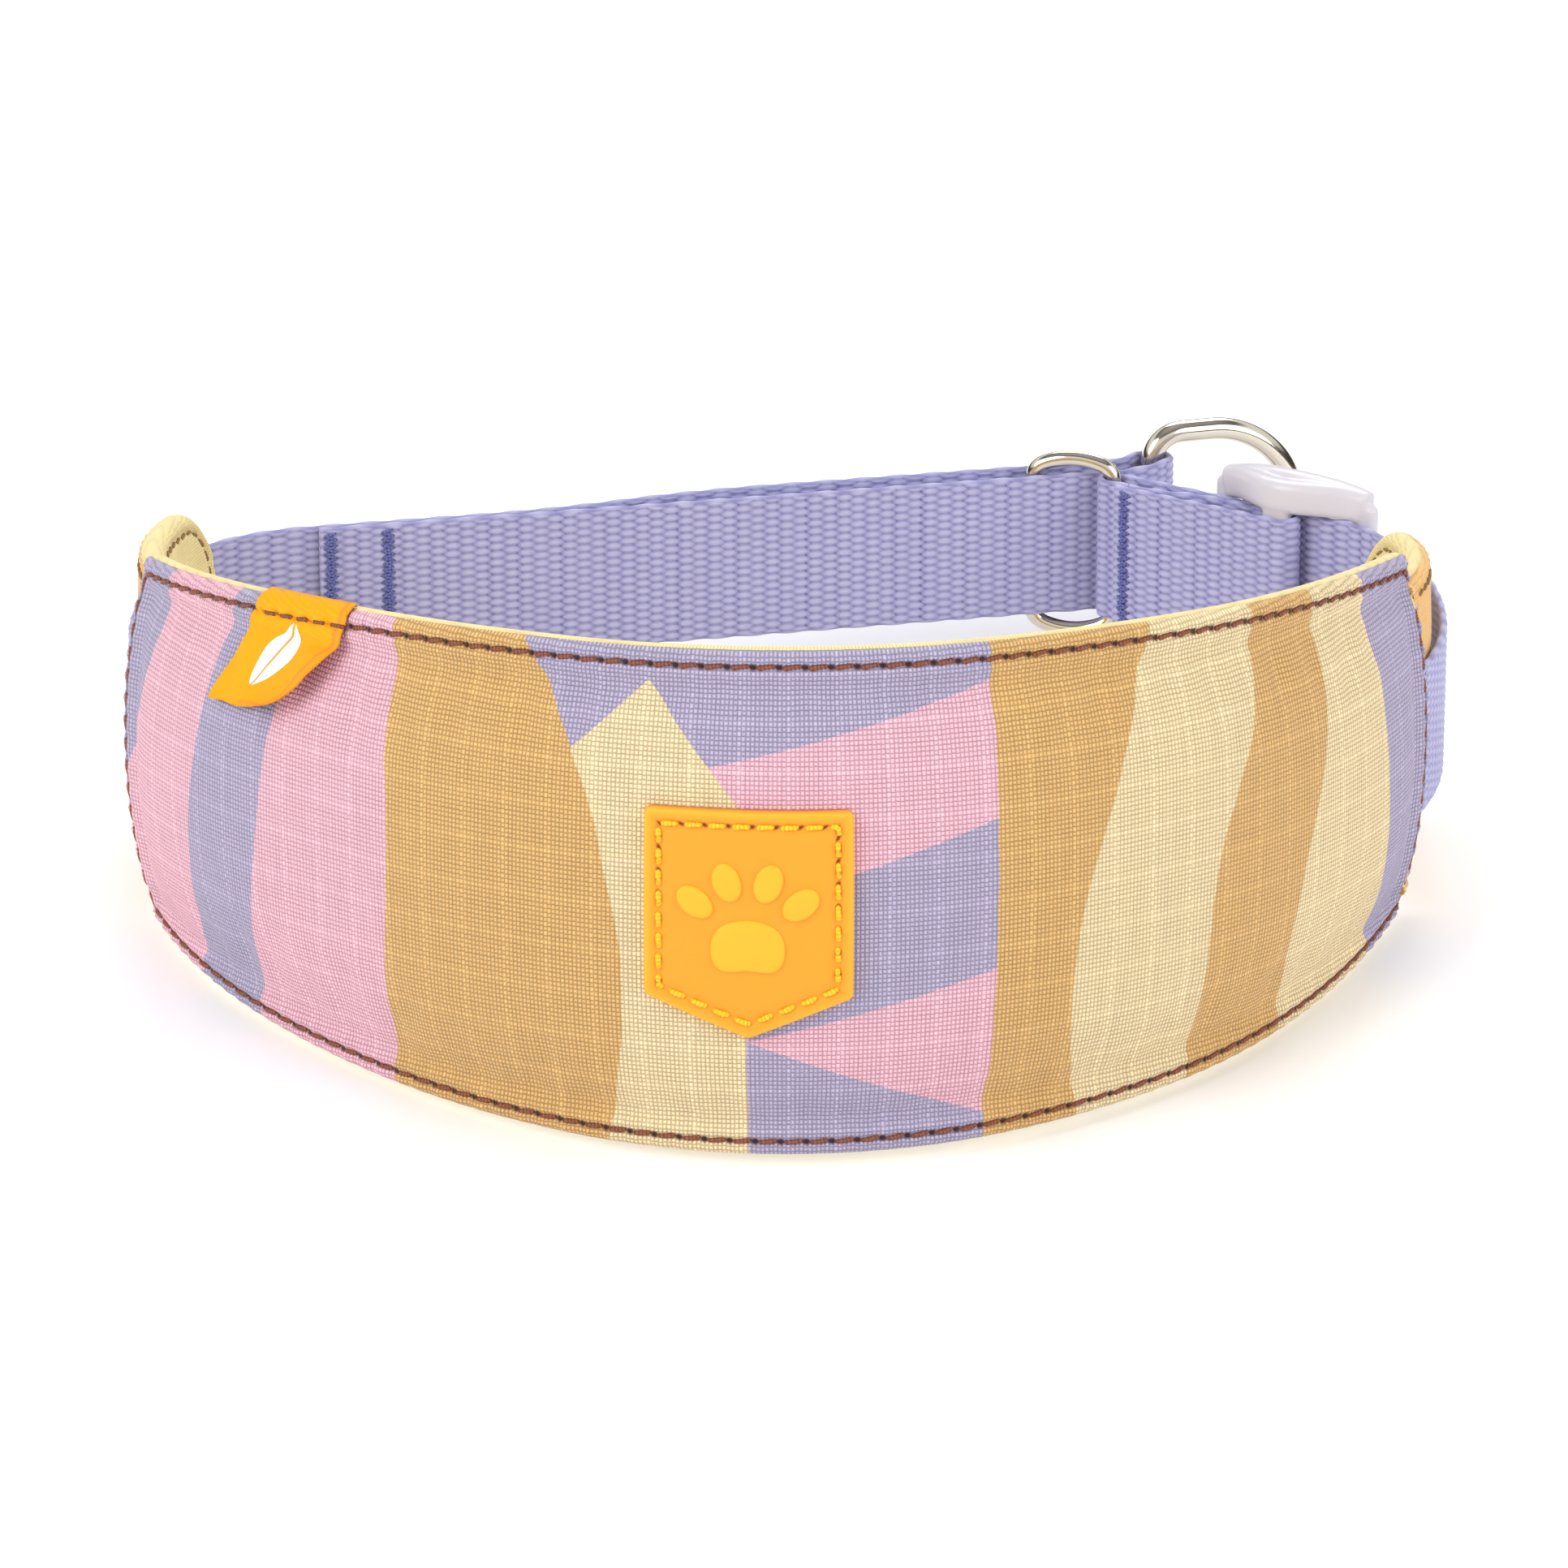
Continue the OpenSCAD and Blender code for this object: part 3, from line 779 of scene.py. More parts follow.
s_panel = band_s(PANEL_LEN, 0.78)
Z = rim_rows(panel_half_h(s_panel), 44)
S = np.broadcast_to(s_panel[:, None], Z.shape)
H = np.broadcast_to(panel_half_h(s_panel)[:, None], Z.shape)
D, N_OUT, N_IN = panel_offsets(S, Z, H)
on_long_edge = H - np.abs(Z) < PANEL_LEN - np.abs(S)
along_edge = np.where(on_long_edge, S, Z)
pucker = np.cos(2 * math.pi * along_edge / PITCH) * np.exp(-((D - 1.1) / 0.8) ** 2) * 0.18
pucker = pucker + np.cos(2 * math.pi * along_edge / PITCH + 0.6) * np.exp(-((D - 3.4) / 1.1) ** 2) * 0.08
drift = (0.12 * np.sin(S / 9.0 + Z / 13.0) * np.sin(Z / 11.0 + 1.2) + 0.1 * np.sin(S / 17.0 - Z / 8.0 + 0.7)
         + 0.07 * np.sin(S / 4.3 + Z / 15.0)) * smooth01((D - 2.5) / 8)
coarse_s, coarse_part, settled = settled_panel()
by_s = catmull(settled, coarse_s, s_panel)
fine = [catmull(row[:, None], coarse_part, z / half)[:, 0]
        for row, z, half in zip(by_s, Z, panel_half_h(s_panel))]
drift = drift + SETTLED_SHARE * np.array(fine) * smooth01((D - 2.2) / 3)
N_OUT = N_OUT + pucker + drift
N_IN = N_IN + 0.4 * pucker


def stitch_count(s, z, inset=STITCH_INSET):
    """How many stitches along the seam the point of the stitch line nearest to (s, z) lies, and how far
    off the line (s, z) is."""
    reach = PANEL_LEN - inset
    walk = np.linspace(-reach, reach, 600)
    edge = panel_half_h(walk) - inset
    length = distances(np.stack([walk, edge], -1))
    end_half = edge[0]
    top = np.interp(s, walk, length)
    run_right = length[-1] + (end_half - z)
    run_low = length[-1] + 2 * end_half + (length[-1] - top)
    run_left = 2 * length[-1] + 2 * end_half + (z + end_half)
    total = 2 * length[-1] + 4 * end_half
    half = panel_half_h(s)
    long_off = half - inset - np.abs(z)
    end_off = reach - np.abs(s)
    is_long = long_off < end_off
    run = np.where(is_long, np.where(z > 0, top, run_low), np.where(s > 0, run_right, run_left))
    return run / (total / round(total / PITCH)), np.where(is_long, long_off, end_off)


RUN, OFF = stitch_count(S, Z)
# The print is laid out for ends that do not bow, so it is carried along where they do
flank_turn = np.radians(np.minimum(np.abs(panel_plan(S)[1]), 62))
PRINT_S = S + np.sign(S) * barrel(S, Z, H, 2.3) * np.tan(flank_turn)
outer = panel_place(S, Z, N_OUT)
inner = panel_place(S, Z, N_IN)
panel_front = Sheet(s_panel, Z, outer, 1)
panel_back = Sheet(s_panel, Z, inner, -1)
cover, lining = padded((("panel_cover_cloth", CANVAS), ("panel_lining_cloth", LINING)), Z, outer, inner,
                       {"s": S, "z": Z, "print_s": PRINT_S, "run": RUN, "off": OFF})
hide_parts("panel_cover")
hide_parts("panel_lining", "panel_padding")


def panel_route(inset):
    reach = PANEL_LEN - inset
    top = [(s, panel_half_h(s) - inset) for s in np.linspace(-reach, reach, 200)]
    end = [(reach, z) for z in np.linspace(top[-1][1], -top[-1][1], 30)][1:]
    return top + end + [(s, -z) for s, z in top[::-1]][1:] + [(-s, -z) for s, z in end]


class Raised:
    """A sheet raised by height(s, z)."""

    def __init__(self, sheet, height):
        self.sheet, self.height = sheet, height

    def at(self, s, z, lift=0.0):
        return self.sheet.at(s, z, lift + self.height(s, z))


def over_tag(s, z):
    """The topstitching climbs over the side tag, which is caught under it."""
    left, right, rise = -75.9, -59.9, 0.86
    inside = min(s - left, right - s) if z > 0 else -1.0
    return rise * float(smooth01(0.5 + inside / 0.8))


stitch_route = panel_route(STITCH_INSET)
topstitch = run_stitches("panel_topstitching", Raised(panel_front, over_tag), stitch_route, BROWN,
                         radius=0.35, gap=0.72, lift=0.2, slant=0.2)
backstitch = run_stitches("panel_backstitching", panel_back, stitch_route, BROWN, radius=0.2)
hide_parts("panel_topstitch")

# ---- Badge ----

BADGE_S, BADGE_TOP, BADGE_W, BADGE_SIDE, BADGE_POINT = -4.3, 13.8, 25.6, 24.2, 5.4
# The badge lies flat on the curved cover, so a width of it spans less of the plan path
FLAT = NOSE_R / (NOSE_R + 5.2)
BADGE_INSET, BADGE_FACE, FAR_OFF = 1.9, 1.14, 5.0


def shield(inset, per_side=14):
    """Points round the badge's outline, pulled in by inset, with rounded corners."""
    half, top = BADGE_W / 2 - inset, BADGE_TOP - inset
    slope = math.atan2(BADGE_POINT, BADGE_W / 2)
    side = BADGE_TOP - BADGE_SIDE + inset * (1 / math.cos(slope) - math.tan(slope))
    tip = BADGE_TOP - BADGE_SIDE - BADGE_POINT + inset / math.cos(slope)
    corners = np.array([(-half, top), (half, top), (half, side), (0, tip), (-half, side)])
    radius = max(0.9 - inset * 0.4, 0.25)
    rounds = []
    for k, c in enumerate(corners):
        u, v = unit(corners[k - 1] - c), unit(corners[(k + 1) % 5] - c)
        reach = min(radius / math.tan(math.acos(np.clip(u @ v, -1, 1)) / 2), 2.5)
        rounds.append((c + u * reach, c, c + v * reach))
    out = []
    for k, (a, c, b) in enumerate(rounds):
        out += [(1 - t) ** 2 * a + 2 * t * (1 - t) * c + t * t * b for t in np.linspace(0, 1, 7)]
        following = rounds[(k + 1) % 5][0]
        out += [(1 - t) * b + t * following for t in np.linspace(0, 1, per_side + 2)[1:-1]]
    return np.array(out)


def on_badge(points, lift):
    return [panel_front.at(BADGE_S + x * FLAT, z, lift) for x, z in points]


# inset, height above the cloth, and how much of the lighter rim tone, a painted highlight on the raised lip
BADGE_RINGS = [(0.25, -0.2, 0), (0.0, 0.1, 0), (0.0, 0.9, 0), (0.12, 1.18, 0.6), (0.4, 1.3, 0.7),
               (1.1, 1.32, 0), (1.45, 1.26, 0), (1.62, 1.08, 0), (1.9, 0.98, 0), (2.2, 1.04, 0),
               (2.45, 1.14, 0), (3.2, 1.16, 0), (4.2, BADGE_FACE, 0)]


def badge_body():
    """The edge, the lip, the sewing groove and the face, as rings from the back edge to the middle."""
    outlines = [(shield(inset), h, rim, inset - BADGE_INSET) for inset, h, rim in BADGE_RINGS]
    centre, last = np.array([0.0, -1.2]), outlines[-1][0]
    for k in (0.86, 0.72, 0.58, 0.44, 0.3, 0.16, 0.05):
        outlines.append((centre + (last - centre) * k, BADGE_FACE, 0, FAR_OFF))
    stitch_line = shield(BADGE_INSET)
    run = distances(np.vstack([stitch_line, stitch_line[:1]]))
    run = run[:-1] / (run[-1] / round(run[-1] / BADGE_PITCH))
    points = [on_badge(outline, h) for outline, h, _, _ in outlines]
    # The outline turns to the right, so its faces are turned over
    faces = [face[::-1] for face in closed_faces(len(outlines), len(last))]
    values = {"rim": [[rim] * len(last) for _, _, rim, _ in outlines],
              "off": [[off] * len(last) for _, _, _, off in outlines], "run": [run] * len(outlines)}
    return build("badge_body", points, faces, RUBBER, values)


PAD_RINGS = ((1.0, -0.3), (1.0, 0.2), (0.985, 0.36), (0.93, 0.5), (0.8, 0.58), (0.5, 0.62), (0.2, 0.62))
PAD_SIDES = 36


def paw_pad(cx, cz, rx, rz, turn, notch=0.0):
    """A raised rounded pad, as rings that rise and close on a last point."""
    c, s = math.cos(turn), math.sin(turn)
    out = []
    for scale, h in PAD_RINGS:
        for a in np.arange(PAD_SIDES) * 2 * math.pi / PAD_SIDES:
            waist = 1 - notch * math.exp(-((a - 1.5 * math.pi) / 0.55) ** 2)
            shoulder = 1 - 0.3 * notch * math.cos(2 * a)
            x, z = rx * scale * shoulder * math.cos(a), rz * scale * waist * math.sin(a)
            out += on_badge([(cx + x * c - z * s, cz + x * s + z * c)], 1 + h)
    return out + on_badge([(cx, cz)], 1 + PAD_RINGS[-1][1])


def badge_paw():
    """A plain paw: one wide pad and four toes."""
    pads = [(0.0, -4.0, 5.0, 3.9, 0.0, 0.3)]
    for a in np.radians((-50, -17.5, 17.5, 50)):
        pads.append((8.4 * math.sin(a), -3.5 + 8.6 * math.cos(a), 1.75, 2.55, -a))
    points, faces = [], []
    for one in pads:
        first = len(points)
        points += paw_pad(*one)
        tip, ring = len(points) - 1, len(points) - 1 - PAD_SIDES
        faces += closed_faces(len(PAD_RINGS), PAD_SIDES, first)[:-1]
        faces += [[ring + k, ring + (k + 1) % PAD_SIDES, tip] for k in range(PAD_SIDES)]
    every = np.ones(len(points))
    return build("badge_paw", points, faces, RUBBER, {"rim": every, "off": every * FAR_OFF, "run": every * 0})


badge, paw = badge_body(), badge_paw()
badge_route = [(BADGE_S + x * FLAT, z) for x, z in shield(BADGE_INSET, per_side=24)]
badge_stitches = run_stitches("badge_stitches", Raised(panel_front, lambda s, z: 0.98),
                              badge_route + badge_route[:1], GOLD, pitch=BADGE_PITCH * FLAT, radius=0.38,
                              gap=0.7, lift=0.24, slant=0.05)
fit(badge, "collar_band", "badge_rubber", "badge_patch")
fit(paw, "collar_band", "badge_rubber")
fit(badge_stitches, "collar_band", "badge_thread", "badge_stitching")

# ---- Side tag: a folded ribbon caught under the topstitching, its free corner curling ----

TAG_WIDE, TAG_LONG, TAG_THICK = 15.0, 17.0, 0.6


def tag_point(u, v, side):
    """u across 0..1, v down 0..1, side 0 for the back face and 1 for the front."""
    top_left, top_right = np.array([-75.0, 32.4]), np.array([-59.8, 31.9])
    low_left, low_right, bow = np.array([-82.4, 14.6]), np.array([-69.4, 16.4]), np.array([-60.8, 19.6])
    v_ = v[..., None]
    left = (1 - v_) * top_left + v_ * low_left
    right = (1 - v_) ** 2 * top_right + 2 * v_ * (1 - v_) * bow + v_ ** 2 * low_right
    place = left + u[..., None] * (right - left)
    curl = smooth01((u - 0.5) / 0.5) * smooth01((v - 0.08) / 0.5)
    lift = 0.15 + 0.8 * v + 2.6 * curl + 0.5 * curl * np.sin(v * 6.0)
    edge = np.minimum(np.minimum(u, 1 - u) * 16, (1 - v) * TAG_LONG)
    lift = lift + side * TAG_THICK + (-1 if side else 1) * 0.22 * (1 - roll(edge, 0.5))
    height = place[..., 1] - 0.5 * np.sin(math.pi * u) * v
    return place[..., 0], np.minimum(height, panel_half_h(place[..., 0]) - 0.05), lift


TAG_U, TAG_V = np.linspace(0, 1, 34), np.linspace(-0.03, 1, 38)
UU, VV = np.meshgrid(TAG_U, TAG_V, indexing="ij")
tag_front, tag_back = [np.array([[panel_front.at(*one) for one in zip(*row)]
                                 for row in zip(*tag_point(UU, VV, side))]) for side in (1, 0)]


def side_tag():
    rows, cols = UU.shape
    index = np.arange(rows * cols).reshape(rows, cols)
    rim = np.concatenate([index[:, 0], index[-1, 1:], index[-2::-1, -1], index[0, -2:0:-1]])
    after = np.roll(rim, -1)
    skirt = np.stack([rim + rows * cols, after + rows * cols, after, rim], -1)
    quads = grid_quads(rows, cols)
    faces = np.concatenate([quads, quads[:, ::-1] + rows * cols, skirt])
    edge_gap = np.minimum((1 - UU) * TAG_WIDE, (1 - VV) * TAG_LONG + np.maximum(0.45 - UU, 0) * 30)
    piping = np.exp(-((edge_gap - 0.75) / 0.22) ** 2)
    return build("side_tag_ribbon", [tag_front, tag_back], faces, RIBBON,
                 {"s": np.tile(UU.ravel() * TAG_WIDE, 2), "z": np.tile(VV.ravel() * TAG_LONG, 2),
                  "rim": [piping, np.ones(UU.shape)]})


def leaf_mark():
    """A plain two-lobed leaf printed on the tag."""
    sheet = Sheet(TAG_U, np.broadcast_to(TAG_V, UU.shape), tag_front, 1)
    points, faces, n, wide = [], [], 24, 6
    for lobe in (-1, 1):
        quads = grid_quads(n + 1, wide + 1) + len(points)
        faces.extend((quads if lobe > 0 else quads[:, ::-1]).tolist())
        for t in np.linspace(0, 1, n + 1):
            for part in np.linspace(0, 1, wide + 1):
                width = 0.155 * math.sin(math.pi * t) ** 0.75 * part + 0.012
                points.append(sheet.at(0.46 + lobe * width + 0.1 * (t - 0.5), 0.8 - 0.56 * t, 0.05))
    obj = build("side_tag_mark", points, faces, INK)
    thick = obj.modifiers.new("thick", "SOLIDIFY")
    thick.thickness, thick.offset = 0.09 * MM, 0.0
    return apply_modifiers(obj)


tag, leaf = side_tag(), leaf_mark()
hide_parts("side_tag")

# ---- Tongues ----

TONGUE_HALF, TONGUE_CORNER, TONGUE_INSET, TUCK = 22.0, 12.0, 2.6, 3.0
seam_point, _ = panel_plan(np.array(PANEL_LEN))


def tongue_side(s, length):
    return TONGUE_HALF - 2.6 * np.clip(s / length, 0, 1) ** 1.5


def tongue_half_h(s, length):
    """Half height of the tongue: nearly straight sides that end in round corners."""
    past = np.clip((s - (length - TONGUE_CORNER)) / TONGUE_CORNER, 0, 0.9995)
    return tongue_side(s, length) - TONGUE_CORNER * (1 - np.sqrt(1 - past ** 2))


def tongue_distance(s, z, length):
    """Distance to the edge: straight sides, round corners and the end. The border itself is at 0."""
    side = tongue_side(s, length)
    dx = np.maximum(s - length + TONGUE_CORNER, 0)
    dz = np.maximum(np.abs(z) - side + TONGUE_CORNER, 0)
    straight = np.minimum(side - np.abs(z), length - s)
    d = np.maximum(np.minimum(TONGUE_CORNER - np.hypot(dx, dz), straight), 0)
    d[:, 0] = d[:, -1] = d[-1, :] = 0
    return d


def tongue_route(length):
    """The stitch line, along the top, round the end and back along the bottom."""
    route = [(s, float(tongue_side(s, length)) - TONGUE_INSET)
             for s in np.linspace(0, length - TONGUE_CORNER, 40)]
    r = TONGUE_CORNER - TONGUE_INSET
    low = route[-1][1] - r
    for a in np.linspace(0, math.pi / 2, 16)[1:]:
        route.append((length - TONGUE_CORNER + r * math.sin(a), low + r * math.cos(a)))
    return route + [(s, -z) for s, z in route[::-1]]


def tongue(name, body, length, turn, tuck_in, rolled, mirror=False):
    """A padded tongue. Its lower part is drawn in towards the neck by tuck_in, and its lining rolls over
    the outermost rows of its outer side."""
    path = Path(seam_point, PANEL_ANGLE, [(length, turn)])
    s = np.concatenate([np.linspace(-TUCK, length - EDGE_STEPS[-1], 56),
                        length - EDGE_STEPS[:-1][::-1]])
    z = rim_rows(tongue_half_h(s, length), 22)
    S = np.broadcast_to(s[:, None], z.shape)
    d = tongue_distance(S, z, length)
    mid = 0.25 - tuck_in * smooth01((-z - 2) / 18) * smooth01((S + 3) / 14)
    ripple = 0.12 * np.cos(2 * math.pi * (S + z) / 3.0) * np.exp(-((d - 1.0) / 0.8) ** 2)
    sag = 0.2 * np.sin(S / 7.0 + z / 9.0) * smooth01((d - 2) / 5)
    inside = smooth01((d - 3) / 8)
    n_out = mid + 2.0 * roll(d, 1.9) + 0.25 * inside - groove(d, 0.5) + ripple
    n_in = mid - 2.0 * roll(d, 1.9) - 0.45 * inside + groove(d, 0.65) + ripple + sag

    def place(n):
        point, heading = path.at(S)
        point = point - n[..., None] * left_of(heading)
        if mirror:
            point = point * [-1, 1] + [2 * MID_X, 0]
        return np.concatenate([point, z[..., None]], -1)

    outer, inner = place(n_out), place(n_in)
    names = ((f"{name}_tongue_canvas", TONGUE), (f"{name}_tongue_lining_cloth", LINING))
    canvas, lining_cloth = padded(names, z, outer, inner, {"s": S, "z": z, "run": S * 0 + 0.5, "off": d},
                                  take=rolled, take_end=rolled, mirror=mirror)
    route = tongue_route(length)
    stitches, outer_stitches = [
        run_stitches(f"{name}_tongue_{end}", Sheet(s, z, points, side), route, KHAKI, pitch=2.8, radius=0.24)
        for end, points, side in (("stitches", inner, -1), ("outer_stitches", outer, 1))]
    fit(canvas, body, "tongue_canvas", f"{name}_tongue_cover")
    fit(lining_cloth, body, "lining", f"{name}_tongue_lining", f"{name}_tongue_padding")
    fit(stitches, body, "tongue_thread", f"{name}_tongue_stitching")
    fit(outer_stitches, body, "tongue_thread")


tongue("right", "collar_band", 36.0, 46.0, 3.2, 1)
tongue("left", "control_loop", 45.0, 43.0, 3.4, 3, mirror=True)


# ---- Webbing ----

WEB_W, WEB_T, GAP = 20.6, 1.2, 0.15
OVAL_ROWS = 17
FACE_W = WEB_W - 0.9
OVAL_PITCH = FACE_W / OVAL_ROWS
RELIEF, EDGE_POINTS = 0.34, 5


def ovals(s, z, column):
    """Height 0..1 of the woven floats: ovals stacked in columns, each column half a float out of step."""
    best = np.zeros(s.shape)
    nearest = np.round(s / column)
    for c in (nearest - 1, nearest, nearest + 1):
        u = (s / column - c + 0.06 * (hash01(c, 3) - 0.5)) / 0.66
        v = z / OVAL_PITCH + 0.5 * np.mod(c, 2)
        v = (v - np.round(v)) / 0.5
        best = np.maximum(best, np.sqrt(np.clip(1 - u ** 2 - v ** 2, 0, 1)))
    return best


def webbing(name, path, s0, s1, column_left, column_right, body, node):
    """Woven webbing along a path: stacked oval floats on both faces, and looped edges."""
    step, per_side = ((0.33, 6 * OVAL_ROWS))
    s = np.linspace(s0, s1, int((s1 - s0) / step) + 1)
    z_face = (np.arange(per_side) + 0.5) / per_side * FACE_W - FACE_W / 2
    edge = np.radians(np.linspace(70, -70, EDGE_POINTS))
    z_edge = FACE_W / 2 + 0.45 * np.cos(edge)
    face, no_face = np.ones(per_side), np.zeros(EDGE_POINTS)
    z = np.concatenate([z_face, z_edge, z_face[::-1], -z_edge])
    side = np.concatenate([face, np.sin(edge), -face, -np.sin(edge)])
    on_face = np.concatenate([face, no_face, face, no_face]) > 0
    Sg, Zg = np.meshgrid(s, z, indexing="ij")
    loops = 0.5 + 0.5 * np.cos(math.pi * Sg / column_left)
    floats = np.where(side > 0, ovals(Sg, Zg, column_left), ovals(Sg, Zg, column_right))
    # lift is the height of the floats and loops, and also paints the webbing's shade in the valleys and
    # highlight on the crowns and loop bulges
    lift = np.where(on_face, floats, 0.35 + 0.55 * loops)
    n = np.where(on_face, side * (WEB_T / 2 - RELIEF * (1 - lift)), side * 0.46)
    z_out = Zg + np.where(on_face, 0, np.sign(Zg) * (0.18 * loops - 0.1))
    point, heading = path.at(Sg)
    grid = np.concatenate([point + n[..., None] * left_of(heading), z_out[..., None]], -1)
    # The cut ends are closed by strips across the thickness and a fan at either edge
    rows, cols = Sg.shape
    faces = grid_quads(rows, cols, wrap=True).tolist()
    half, last = per_side + EDGE_POINTS, per_side - 1
    for first, order in ((0, -1), ((rows - 1) * cols, 1)):
        for k in range(last):
            across = first + half + last - k
            faces.append([first + k, first + k + 1, across - 1, across][::order])
        faces.append([first + last + k for k in range(EDGE_POINTS + 2)][::order])
        faces.append(([first + half + last + k for k in range(EDGE_POINTS + 1)] + [first])[::order])
    obj = build(name, grid, faces, WEBBING, {"s": Sg, "z": Zg, "lift": lift})
    fit(obj, body, "webbing", node)


D_WIRE = 3.2
run_point = np.array([42.8, 109.0])
D_PLAY, D_RUN, BACK_RUN, BACK_R, SEAM_LEG = 0.5, 5.5, 23.5, 26, 26.5
fold_r = D_WIRE / 2 + WEB_T / 2 + D_PLAY
LOOP_R, LOOP_TURN, CUT_BACK = 14.0, 46.7, 109.3
control_start = run_point - CUT_BACK * along(RUN_HEADING)
inner_legs = [(CUT_BACK + D_RUN, 0), arc(LOOP_R, LOOP_TURN)]
inner_path = Path(control_start, RUN_HEADING, inner_legs)
d_bar = inner_path.end + fold_r * left_of(inner_path.heading)
loop_gap, join_gap, JOIN_TURN = 2 * fold_r, WEB_T + GAP, 10.5
join_len = math.radians(JOIN_TURN) * (loop_gap - join_gap) / 2 / (1 - math.cos(math.radians(JOIN_TURN)))
SEAM_TURN = 25
limb_turn = 180 - PANEL_ANGLE - RUN_HEADING - SEAM_TURN
right_seam = seam_point + GAP * along(PANEL_ANGLE) + 3.2 * along(-RUN_HEADING)
left_seam = np.array([2 * MID_X - right_seam[0], right_seam[1]])


def outer_legs(run, limb):
    return [arc(fold_r, 180), arc(LOOP_R - loop_gap, -LOOP_TURN), (run, 0), (join_len, JOIN_TURN),
            (join_len, -JOIN_TURN), (BACK_RUN, 0), arc(BACK_R, limb_turn), (limb, 0), (SEAM_LEG, SEAM_TURN)]


short_by = left_seam - Path(inner_path.end, inner_path.heading, outer_legs(1e-9, 1e-9)).end
crossing = math.sin(math.radians(limb_turn))
outer_run = -(short_by @ left_of(RUN_HEADING + 180 + limb_turn)) / crossing
limb_run = short_by @ left_of(RUN_HEADING + 180) / crossing
control_path = Path(control_start, RUN_HEADING, inner_legs + outer_legs(outer_run, limb_run))
webbing("control_strap_webbing", control_path, 0, control_path.length + TUCK, 2.6, 2.1, "control_loop",
        "control_strap")

OVAL_WIRE, OVAL_W, OVAL_H = 2.2, 14.0, 27.0
bar_gap = OVAL_W - OVAL_WIRE
left_n = WEB_T / 2 + GAP + OVAL_WIRE / 2
right_n = -(WEB_T / 2 + 2 * GAP + WEB_T + OVAL_WIRE / 2)
oval_heading = RUN_HEADING - math.degrees(math.asin((left_n - right_n) / bar_gap))
oval_mid = run_point + (left_n + right_n) / 2 * left_of(RUN_HEADING)
NECK_HEADING = -38
ring_bar = oval_mid + bar_gap / 2 * along(oval_heading)
ring_fold_r = OVAL_WIRE / 2 + GAP + WEB_T / 2
fold_point = ring_bar + ring_fold_r * left_of(NECK_HEADING)
BULGE = [(18, 14), (17, 10), (13, 10)]
STRAIGHT, STUB = 36.5, 4.0
bulge = Path(right_seam, PANEL_ANGLE, BULGE)
bend_turn = NECK_HEADING + 180 - bulge.heading
to_bend = fold_point + STRAIGHT * along(NECK_HEADING) - bulge.end
bend_r = to_bend @ left_of(bulge.heading) / (1 - math.cos(math.radians(bend_turn)))
lead = to_bend @ along(bulge.heading) - bend_r * math.sin(math.radians(bend_turn))
neck_path = Path(right_seam, PANEL_ANGLE, BULGE + [(lead, 0), arc(bend_r, bend_turn), (STRAIGHT, 0),
                                                   arc(ring_fold_r, 180), (STUB, 0)])
webbing("neck_strap_webbing", neck_path, -TUCK, neck_path.length, 2.6, 2.1, "collar_band", "neck_strap")

SLIDER_AT, SLIDER_L, SLIDER_H = 29.0, 27.0, 31.0
MIDDLE_W, MIDDLE_T, BAR_W, BAR_T = 4.4, 2.2, 3.6, 2.0
middle_n = -(WEB_T / 2 + 2 * GAP + WEB_T + MIDDLE_T / 2)
end_n = WEB_T / 2 + GAP + BAR_T / 2
tail_fold_r = MIDDLE_T / 2 + GAP + WEB_T / 2
tail_n = -2 * ring_fold_r
tail_drop = abs(tail_n) - WEB_T - GAP
TAIL_TURN, TAIL_GAP, TAIL_END = 19, 0.3, 27.5
tail_join = STUB + TAIL_GAP
tail_leg = math.radians(TAIL_TURN) * tail_drop / 2 / (1 - math.cos(math.radians(TAIL_TURN)))
tail_run = (SLIDER_AT + (MIDDLE_W - MIDDLE_T) / 2 - tail_join
            - tail_drop * math.sin(math.radians(TAIL_TURN)) / (1 - math.cos(math.radians(TAIL_TURN))))
tail_start = fold_point + tail_join * along(NECK_HEADING) + tail_n * left_of(NECK_HEADING)
tail_path = Path(tail_start, NECK_HEADING, [(tail_leg, TAIL_TURN), (tail_leg, -TAIL_TURN), (tail_run, 0),
                                            arc(tail_fold_r, -180), (TAIL_END, 0)])
webbing("strap_tail_webbing", tail_path, -0.2, tail_path.length, 2.1, 2.65, "adjuster", "strap_tail")


def bartack(path, s, side, width=1.9, count=42):
    """The lines of a dense zigzag of thread across the webbing."""
    lines = []
    point, heading = path.at(np.array(float(s)))
    for k in range(count):
        z0 = (WEB_W - 2.0) * (k / (count - 1) - 0.5)
        lean = 0.26 if k % 2 else -0.26
        line = []
        for u in np.linspace(-1, 1, 5):
            x = u / 2 * width * (0.9 + 0.25 * hash01(k, 7)) + 0.25 * (hash01(k, 11) - 0.5)
            arch = 0.1 * math.cos(math.pi * u / 2) - 0.22 * (abs(u) > 0.9)
            place = point + x * along(heading) + side * (WEB_T / 2 + 0.05 + arch) * left_of(heading)
            line.append((*place, z0 + lean * u))
        lines.append(line)
    return lines


for name, lines, body, node in (
        ("control_strap_tacks", bartack(control_path, 1.5, -1) + bartack(control_path, 9.6, -1),
         "control_loop", "control_strap_bartacks"),
        ("strap_tail_tack", bartack(tail_path, tail_path.length - 1.8, 1), "adjuster", "tail_bartack")):
    fit(tubes(name, lines, BLUE, 0.24, sides=8, lobes=0.2, twist=2.0), body, "webbing_thread", node)

# ---- Rings ----

WIRE_STEP, WIRE_SIDES = 0.45, 28


